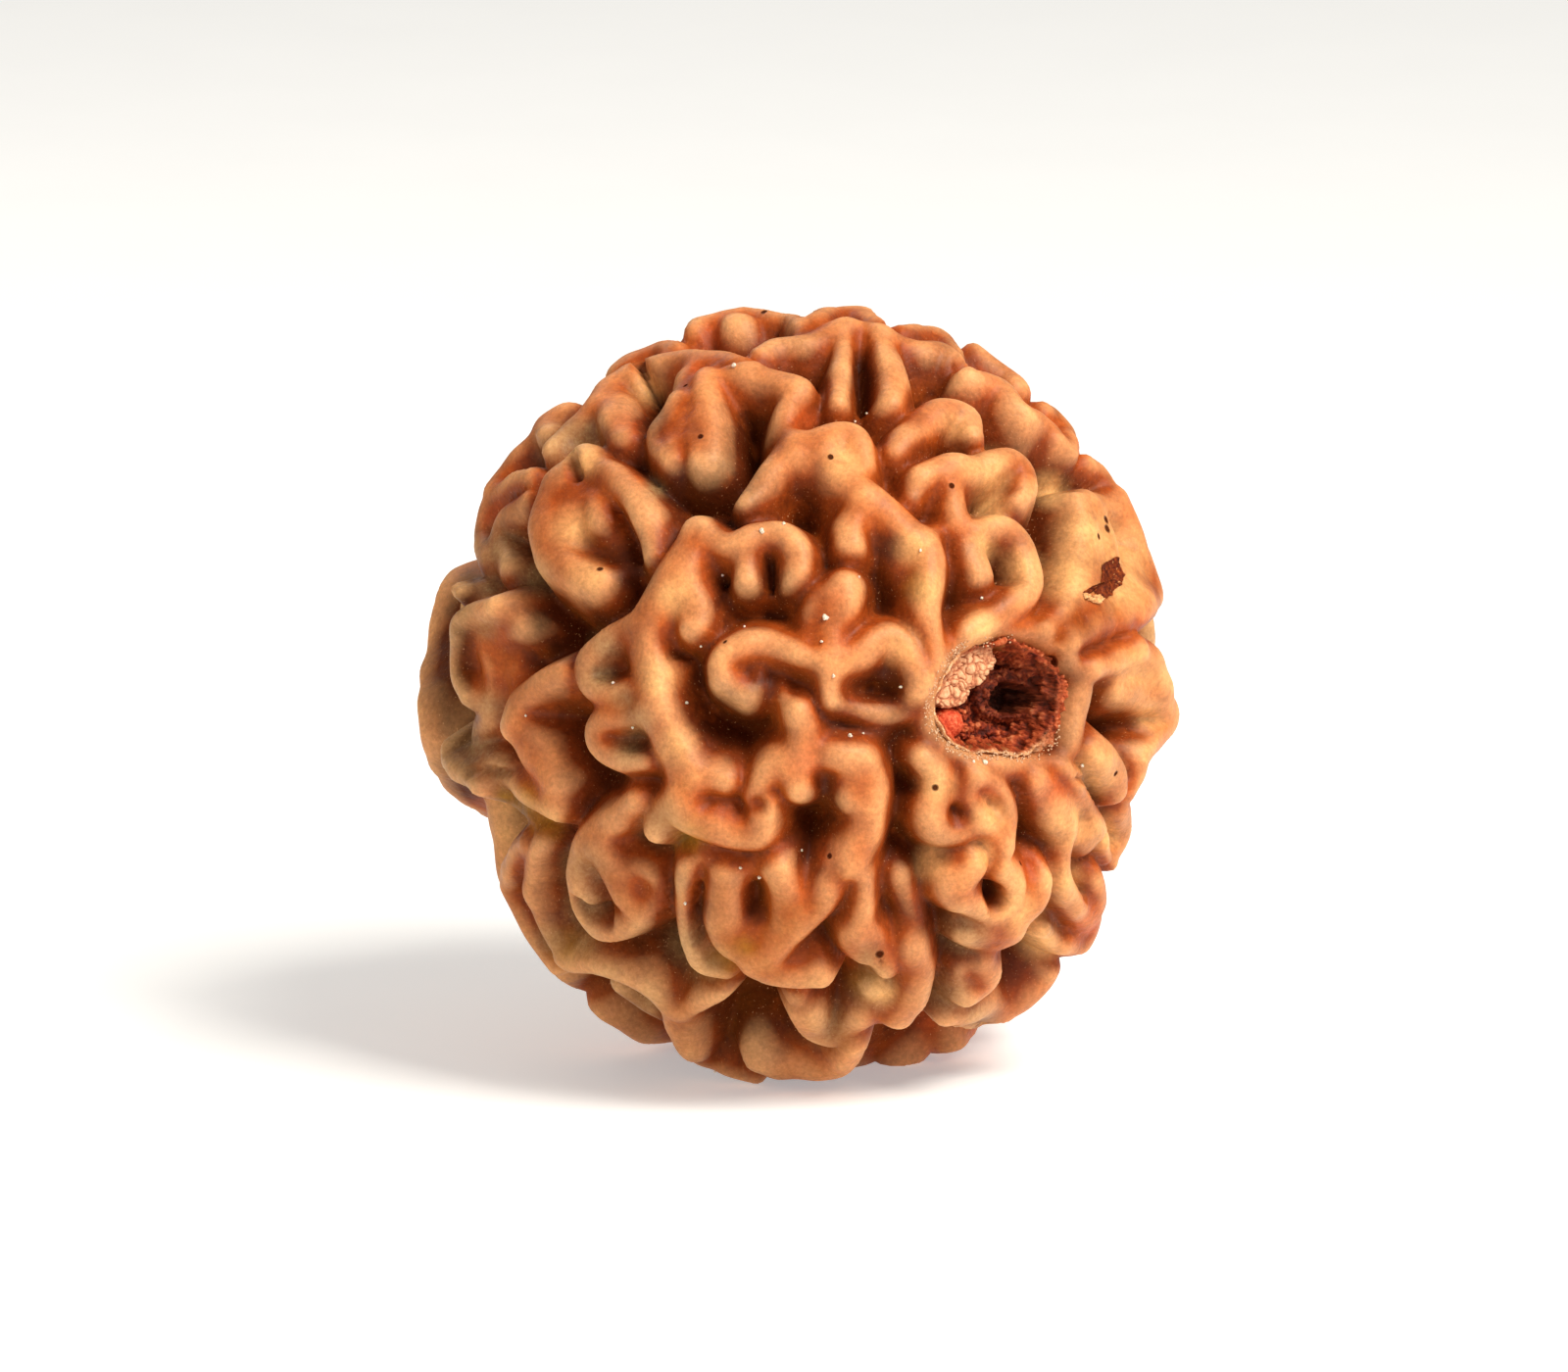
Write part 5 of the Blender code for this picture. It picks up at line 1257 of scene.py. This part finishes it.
def on_skin(stone, table):
    """The finished skin's points at the photograph's pixels, in millimetres, and the way they face."""
    x = np.array([row[0] for row in table], float)
    y = np.array([row[1] for row in table], float)
    height = np.full(len(table), PLACE_START)
    for _ in range(PLACE_ROUNDS):
        directions = unit(np.stack([on_body([a], [b], h)[0] for a, b, h in zip(x, y, height, strict=True)]))
        height += PLACE_STEP * (stone.heights(directions) - height)
    return upright(stone.skin(directions)) + BODY_MIDDLE, upright(directions)


def white_grains(stone):
    """Small grains of white dust that lie on the skin."""
    dice = np.random.default_rng(5)
    points, outward = on_skin(stone, WHITE_GRAINS)
    shape = bmesh.new()
    for point, direction, row in zip(points, outward, WHITE_GRAINS, strict=True):
        size = row[2] / PIXELS_PER_MM * MM
        middle = Vector(point * MM) + Vector(direction) * size * GRAIN_SUNK
        turn = Matrix.Rotation(dice.uniform(0, 6.28), 4, Vector(unit(dice.normal(size=(1, 3)))[0]))
        pebble(shape, middle, size, turn, 2, GRAIN_SHAPE)
    return mesh_from("white_grains", shape)


def torn_scrap(stone, name, outline, height):
    """A ragged flat scrap that lies on the skin, its edge on the given outline."""
    ends = np.array(outline, float)
    knots = np.concatenate([ends, np.roll(ends, -1, axis=0)], axis=1).reshape(-1, 2, 2)
    steps = np.linspace(0, 1, SCRAP_STEPS, endpoint=False)[:, None]
    border = np.vstack([start + (end - start) * steps for start, end in knots])
    dice = np.random.default_rng(4)
    border += dice.normal(size=border.shape) * SCRAP_RAGGED
    middle = border.mean(axis=0)
    places = np.vstack([middle + (border - middle) * share for share in SCRAP_RINGS])
    points, outward = on_skin(stone, places.tolist())
    lift = height + SCRAP_UNEVEN * dice.normal(size=len(points))
    lift[: len(border)] = SCRAP_EDGE_LIFT
    points += outward * lift[:, None]
    shape = bmesh.new()
    made = [shape.verts.new(Vector(point) * MM) for point in points]
    count = len(border)
    for start in range(0, len(made) - count, count):
        for index in range(count):
            here, after = start + index, start + (index + 1) % count
            shape.faces.new((made[here], made[after], made[after + count], made[here + count]))
    shape.faces.new(made[-count:])
    bmesh.ops.triangulate(shape, faces=shape.faces[:])
    bmesh.ops.recalc_face_normals(shape, faces=shape.faces[:])
    return mesh_from(name, shape)


def linear(red, green, blue):
    """A colour written as a screen's 0 to 255 values."""
    return tuple(((value / 255 + 0.055) / 1.055) ** 2.4 for value in (red, green, blue)) + (1.0,)


class Finish:
    """A material and short ways to add nodes to it."""

    def __init__(self, name):
        self.material = bpy.data.materials.new(name)
        self.material.use_nodes = True
        self.tree = self.material.node_tree
        self.sockets = self.tree.nodes["Principled BSDF"].inputs
        self.place = self.tree.nodes.new("ShaderNodeTexCoord").outputs["Object"]

    def put(self, socket, value):
        if isinstance(value, bpy.types.NodeSocket):
            self.tree.links.new(value, socket)
        else:
            socket.default_value = value

    def has(self, name, value):
        """Sets a property of the shader, evenly or by a pattern."""
        self.put(self.sockets[name], value)

    def attribute(self, name):
        node = self.tree.nodes.new("ShaderNodeAttribute")
        node.attribute_name = name
        return node.outputs["Fac"]

    def sum(self, operation, first, second):
        node = self.tree.nodes.new("ShaderNodeMath")
        node.operation = operation
        self.put(node.inputs[0], first)
        self.put(node.inputs[1], second)
        return node.outputs[0]

    def plus(self, first, second):
        return self.sum("ADD", first, second)

    def times(self, first, second):
        return self.sum("MULTIPLY", first, second)

    def span(self, value, low, high, to_low=0.0, to_high=1.0):
        """A value between low and high, spread over another range and held inside it."""
        node = self.tree.nodes.new("ShaderNodeMapRange")
        for socket, given in zip(node.inputs, (value, low, high, to_low, to_high), strict=False):
            self.put(socket, given)
        return node.outputs[0]

    def noise(self, millimetres, detail=3.0, roughness=0.55):
        """Clouds of about the given size."""
        node = self.tree.nodes.new("ShaderNodeTexNoise")
        self.put(node.inputs["Vector"], self.place)
        node.inputs["Scale"].default_value = 1 / (millimetres * MM)
        node.inputs["Detail"].default_value = detail
        node.inputs["Roughness"].default_value = roughness
        return node.outputs["Fac"]

    def ramp(self, value, stops):
        node = self.tree.nodes.new("ShaderNodeValToRGB")
        self.put(node.inputs[0], value)
        points = node.color_ramp.elements
        for position, colour in stops[1:-1]:
            points.new(position).color = linear(*colour)
        points[0].position, points[0].color = stops[0][0], linear(*stops[0][1])
        points[-1].position, points[-1].color = stops[-1][0], linear(*stops[-1][1])
        return node.outputs[0]

    def mix(self, share, first, second, blend="MIX"):
        node = self.tree.nodes.new("ShaderNodeMix")
        node.data_type = "RGBA"
        node.blend_type = blend
        self.put(node.inputs[0], share)
        self.put(node.inputs[6], first)
        self.put(node.inputs[7], second)
        return node.outputs[2]

    def tint(self, colour, share, tone):
        return self.mix(share, colour, linear(*tone))

    def bump(self, height, millimetres, strength=1.0, under=None):
        node = self.tree.nodes.new("ShaderNodeBump")
        node.inputs["Strength"].default_value = strength
        node.inputs["Distance"].default_value = millimetres * MM
        self.put(node.inputs["Height"], height)
        if under:
            self.put(node.inputs["Normal"], under)
        return node.outputs[0]

    def from_point(self, position, radius):
        """0 at a point, 1 at the radius round it."""
        node = self.tree.nodes.new("ShaderNodeVectorMath")
        node.operation = "DISTANCE"
        self.put(node.inputs[0], self.place)
        node.inputs[1].default_value = position
        return self.sum("DIVIDE", node.outputs["Value"], radius)


def clouded(name, pattern, colours, roughness):
    """A finish whose colour follows clouds of one size."""
    finish = Finish(name)
    clouds = finish.noise(*pattern)
    finish.has("Base Color", finish.ramp(clouds, colours))
    finish.has("Roughness", roughness)
    return finish, clouds


def shell_ground(finish, level, hollow, clouds):
    """The shell's colour by how high the skin stands, broken up by clouds: darker in the furrows, partly its
    own colour and partly painted shade.
    """
    height = finish.span(level, 0.83, 1.035)
    # Painted shade in the hollows: darker where the skin lies below its smoothed surroundings.
    height = finish.plus(height, finish.span(hollow, -0.05, 0.07, 0.08, -0.30))
    height = finish.plus(height, finish.span(clouds, 0.28, 0.72, -0.20, 0.14))
    height = finish.plus(height, finish.span(finish.noise(*BROAD_CLOUDS), 0.3, 0.7, -0.18, 0.10))
    # Painted shade: the dark spots lower the colour towards the furrows' dark end.
    height = finish.sum("SUBTRACT", height, finish.times(finish.attribute("dark"), 0.42))
    return finish.ramp(height, SHELL_COLOURS)


def stained(finish, colour, mark, thinned, strength, tone):
    """Mixes a stain into the colour where its mark is, thinned by a pattern."""
    return finish.tint(colour, finish.times(finish.times(finish.attribute(mark), thinned), strength), tone)


def shell_stains(finish, colour, clouds, speckle):
    """Red blotches, rust, yellow stains, grey film, and one dark tint: ochre stains, painted shade on the
    trunk and on skin facing left or down, and darker skin low at the left.
    """
    colour = stained(finish, colour, "red", finish.span(clouds, 0.3, 0.6), 0.55, RED_TONE)
    rust = finish.span(finish.noise(*RUST_CLOUDS), 0.52, 0.68)
    colour = finish.tint(colour, finish.times(rust, 0.38), RUST_TONE)
    colour = stained(finish, colour, "yellow", finish.span(clouds, 0.3, 0.6, 0.4, 1.0), 0.6, YELLOW_TONE)
    colour = stained(finish, colour, "film", finish.span(speckle, 0.35, 0.65, 0.6, 1.0), 0.80, FILM_TONE)
    # The dark tint is partly painted shade (trunk, skin facing left or down), partly ochre stains, and darker
    # low at the left.
    return stained(finish, colour, "grime_and_shade", finish.span(clouds, 0.25, 0.6, 0.3, 1.0), 0.50, GRIME_AND_SHADE_TONE)


def shell_highlights_and_pale(finish, colour, hollow, clouds):
    """Painted highlight on the crests, and paler skin on the pale lobes."""
    # Painted highlight: lighter where the skin bends outward and where it stands above its surroundings.
    crest = finish.times(finish.span(finish.attribute("bent"), 0.001, 0.013), 0.30)
    crest = finish.plus(crest, finish.span(hollow, 0.0, -0.035, 0.0, 0.20))
    crest = finish.times(crest, finish.span(clouds, 0.25, 0.75, 0.75, 1.15))
    colour = finish.tint(colour, crest, CREST_HIGHLIGHT_TONE)
    pale = finish.times(finish.attribute("pale"), finish.span(clouds, 0.25, 0.6, 0.30, 0.68))
    return finish.tint(colour, pale, PALE_TONE)


def shell_specks(finish, colour, level, speckle, dot):
    """Fine grain, powder in the furrows and dark pores."""
    colour = finish.mix(1.0, colour, finish.span(speckle, 0.3, 0.7, 0.78, 1.20), "MULTIPLY")
    powder = finish.span(finish.noise(*POWDER), 0.67, 0.74)
    powder = finish.times(powder, finish.span(level, 1.0, 0.88, 0.12, 0.75))
    colour = finish.tint(colour, powder, POWDER_TONE)
    return finish.tint(colour, finish.times(dot, 0.95), PORE_TONE)


def pore_dots(finish, stone):
    """1 in a pore, 0 outside."""
    places, _ = on_skin(stone, PORES)
    nearest = 1.0
    for point, row in zip(places, PORES, strict=True):
        away = finish.from_point(tuple(point * MM), row[2] / PIXELS_PER_MM * MM)
        nearest = finish.sum("MINIMUM", nearest, away)
    return finish.span(nearest, 0.55, 1.0, 1.0, 0.0)


def shell_finish(stone):
    """Dry shell: tan crests with a painted highlight, orange flanks, dark furrows that are partly painted
    shade, dust, film, stains and further painted shade.
    """
    finish = Finish("seed_shell")
    level = finish.attribute("level")
    hollow = finish.attribute("hollow")
    clouds = finish.noise(*CLOUDS)
    speckle = finish.noise(*SPECKLE)
    dot = pore_dots(finish, stone)
    colour = shell_ground(finish, level, hollow, clouds)
    colour = shell_stains(finish, colour, clouds, speckle)
    colour = shell_highlights_and_pale(finish, colour, hollow, clouds)
    finish.has("Base Color", shell_specks(finish, colour, level, speckle, dot))
    finish.has("Roughness", finish.span(clouds, 0.2, 0.8, 0.38, 0.58))
    grime_and_shade = finish.times(finish.attribute("grime_and_shade"), finish.span(clouds, 0.25, 0.6, 0.3, 1.0))
    gloss = finish.times(finish.span(level, 0.85, 0.98, 0.02, 0.20), finish.span(grime_and_shade, 0, 0.8, 1.0, 0.35))
    finish.has("Specular IOR Level", finish.times(gloss, finish.span(dot, 0, 1, 1.0, 0.0)))
    finish.has("Subsurface Weight", 0.10)
    finish.has("Subsurface Radius", (1.0, 0.35, 0.12))
    finish.has("Subsurface Scale", 0.5 * MM)
    normal = finish.bump(clouds, 0.10, 0.6)
    normal = finish.bump(speckle, 0.030, 0.7, normal)
    finish.has("Normal", finish.bump(finish.times(dot, -1.0), 0.12, 1.0, normal))
    return finish.material


def lining_finish():
    """Torn inside of the stone: dark red wall and floor, pale pith, a red ball and a pale torn edge."""
    finish = Finish("mouth_inside")
    gap = finish.attribute("gap")
    fine = finish.noise(0.10, 5.0, 0.7)
    even = finish.span(fine, 0.3, 0.7)
    rough = finish.span(finish.attribute("rough"), -0.5, 0.5, 0.0, 0.45)
    # Painted shade in the cracks between crumbs: darker where the gap is small.
    tone = finish.plus(rough, finish.span(gap, 0, 1, 0.0, 0.35))
    tone = finish.plus(tone, finish.span(fine, 0.3, 0.7, -0.12, 0.28))
    colour = finish.ramp(tone, MOUTH_COLOURS)
    wall = finish.times(finish.attribute("wall"), finish.span(finish.noise(0.7), 0.35, 0.65))
    colour = finish.tint(colour, finish.times(wall, 0.5), WALL_TONE)
    # Pith crumbs, darker in the cracks between them as painted shade.
    crumbs = finish.plus(finish.span(gap, 0, 0.8, 0.1, 0.8), finish.span(fine, 0.3, 0.7, -0.4, 0.35))
    colour = finish.mix(finish.attribute("pith"), colour, finish.ramp(crumbs, PITH_COLOURS))
    colour = finish.mix(finish.attribute("ball"), colour, finish.ramp(even, BALL_COLOURS))
    colour = finish.mix(finish.attribute("lip"), colour, finish.ramp(even, LIP_COLOURS))
    colour = finish.tint(colour, finish.times(finish.attribute("shade"), 0.55), SHADE_TONE)
    # Painted shade in the hole of the mouth.
    colour = finish.tint(colour, finish.times(finish.attribute("hole"), 0.75), HOLE_SHADE_TONE)
    finish.has("Base Color", colour)
    finish.has("Roughness", finish.span(fine, 0.3, 0.7, 0.45, 0.75))
    finish.has("Specular IOR Level", 0.15)
    finish.has("Normal", finish.bump(fine, 0.04, 0.8))
    return finish.material


def crumb_finish():
    return clouded("pale_crumbs", (0.08,), CRUMB_COLOURS, 0.6)[0].material


def torn_finish():
    finish, clouds = clouded("torn_skin", (0.22, 5.0, 0.7), TORN_COLOURS, 0.7)
    finish.has("Specular IOR Level", 0.12)
    finish.has("Normal", finish.bump(clouds, 0.10))
    return finish.material


def flap_finish():
    return clouded("loose_flap", (0.12, 4.0, 0.6), FLAP_COLOURS, 0.6)[0].material


def grain_finish():
    finish, _ = clouded("white_dust", (0.05,), DUST_COLOURS, 0.5)
    finish.has("Subsurface Weight", 0.3)
    finish.has("Subsurface Scale", 0.1 * MM)
    return finish.material


def floor():
    shape = bmesh.new()
    bmesh.ops.create_circle(shape, cap_ends=True, segments=96, radius=FLOOR_RADIUS)
    mesh = mesh_from("floor", shape)
    finish, _ = clouded("pale_paper", (6.0, 2.0), PAPER_COLOURS, 0.9)
    finish.has("Emission Color", FLOOR_GLOW)
    finish.has("Emission Strength", FLOOR_GLOW_STRENGTH)
    mesh.materials.append(finish.material)
    piece = bpy.data.objects.new("floor", mesh)
    bpy.context.scene.collection.objects.link(piece)


def lamp(name, place, size, power, colour):
    """A soft square light in millimetres, aimed at the middle of the stone."""
    data = bpy.data.lights.new(name, "AREA")
    data.size = size * MM
    data.energy = power
    data.color = colour
    light = bpy.data.objects.new(name, data)
    light.location = Vector(place) * MM
    aim = Vector(BODY_MIDDLE) * MM - light.location
    light.rotation_euler = aim.to_track_quat("-Z", "Y").to_euler()
    light.visible_camera = False
    bpy.context.scene.collection.objects.link(light)


def lights():
    for row in LAMPS:
        lamp(*row)
    world = bpy.data.worlds.new("studio")
    world.use_nodes = True
    surround = world.node_tree.nodes["Background"].inputs
    surround["Color"].default_value = SURROUND_COLOUR
    surround["Strength"].default_value = SURROUND_STRENGTH
    bpy.context.scene.world = world
    bpy.context.scene.view_settings.view_transform = "Standard"


def camera():
    """A very long lens, 12 degrees above level, with the photograph's framing."""
    data = bpy.data.cameras.new("camera")
    data.lens = CAMERA_LENS
    data.sensor_width = CAMERA_SENSOR
    data.clip_end = CAMERA_FAR
    distance = PHOTO_WIDTH / PIXELS_PER_MM * CAMERA_LENS / CAMERA_SENSOR
    back = Vector((0, -math.cos(VIEW_ELEVATION), math.sin(VIEW_ELEVATION)))
    up = back.cross(Vector((1, 0, 0)))
    aside = (PHOTO_WIDTH / 2 - MIDDLE_X) / PIXELS_PER_MM
    above = (MIDDLE_Y - PHOTO_HEIGHT / 2) / PIXELS_PER_MM
    view = bpy.data.objects.new("camera", data)
    view.location = (Vector(BODY_MIDDLE) + back * distance + Vector((aside, 0, 0)) + up * above) * MM
    view.rotation_euler = back.to_track_quat("Z", "Y").to_euler()
    bpy.context.scene.collection.objects.link(view)
    bpy.context.scene.camera = view


def build():
    camera()
    lights()
    floor()
    stone = Stone()
    skin = show("bead_skin", bead_skin(stone), shell_finish(stone))
    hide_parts(NODE)
    show("mouth_lining", mouth_lining(), lining_finish())
    show("mouth_crumbs", mouth_crumbs(stone), crumb_finish())
    show("torn_spot", torn_scrap(stone, "torn_spot", TORN_OUTLINE, TORN_LIFT), torn_finish())
    show("loose_flap", torn_scrap(stone, "loose_flap", FLAP_OUTLINE, FLAP_LIFT), flap_finish())
    show("white_grains", white_grains(stone), grain_finish())


build()
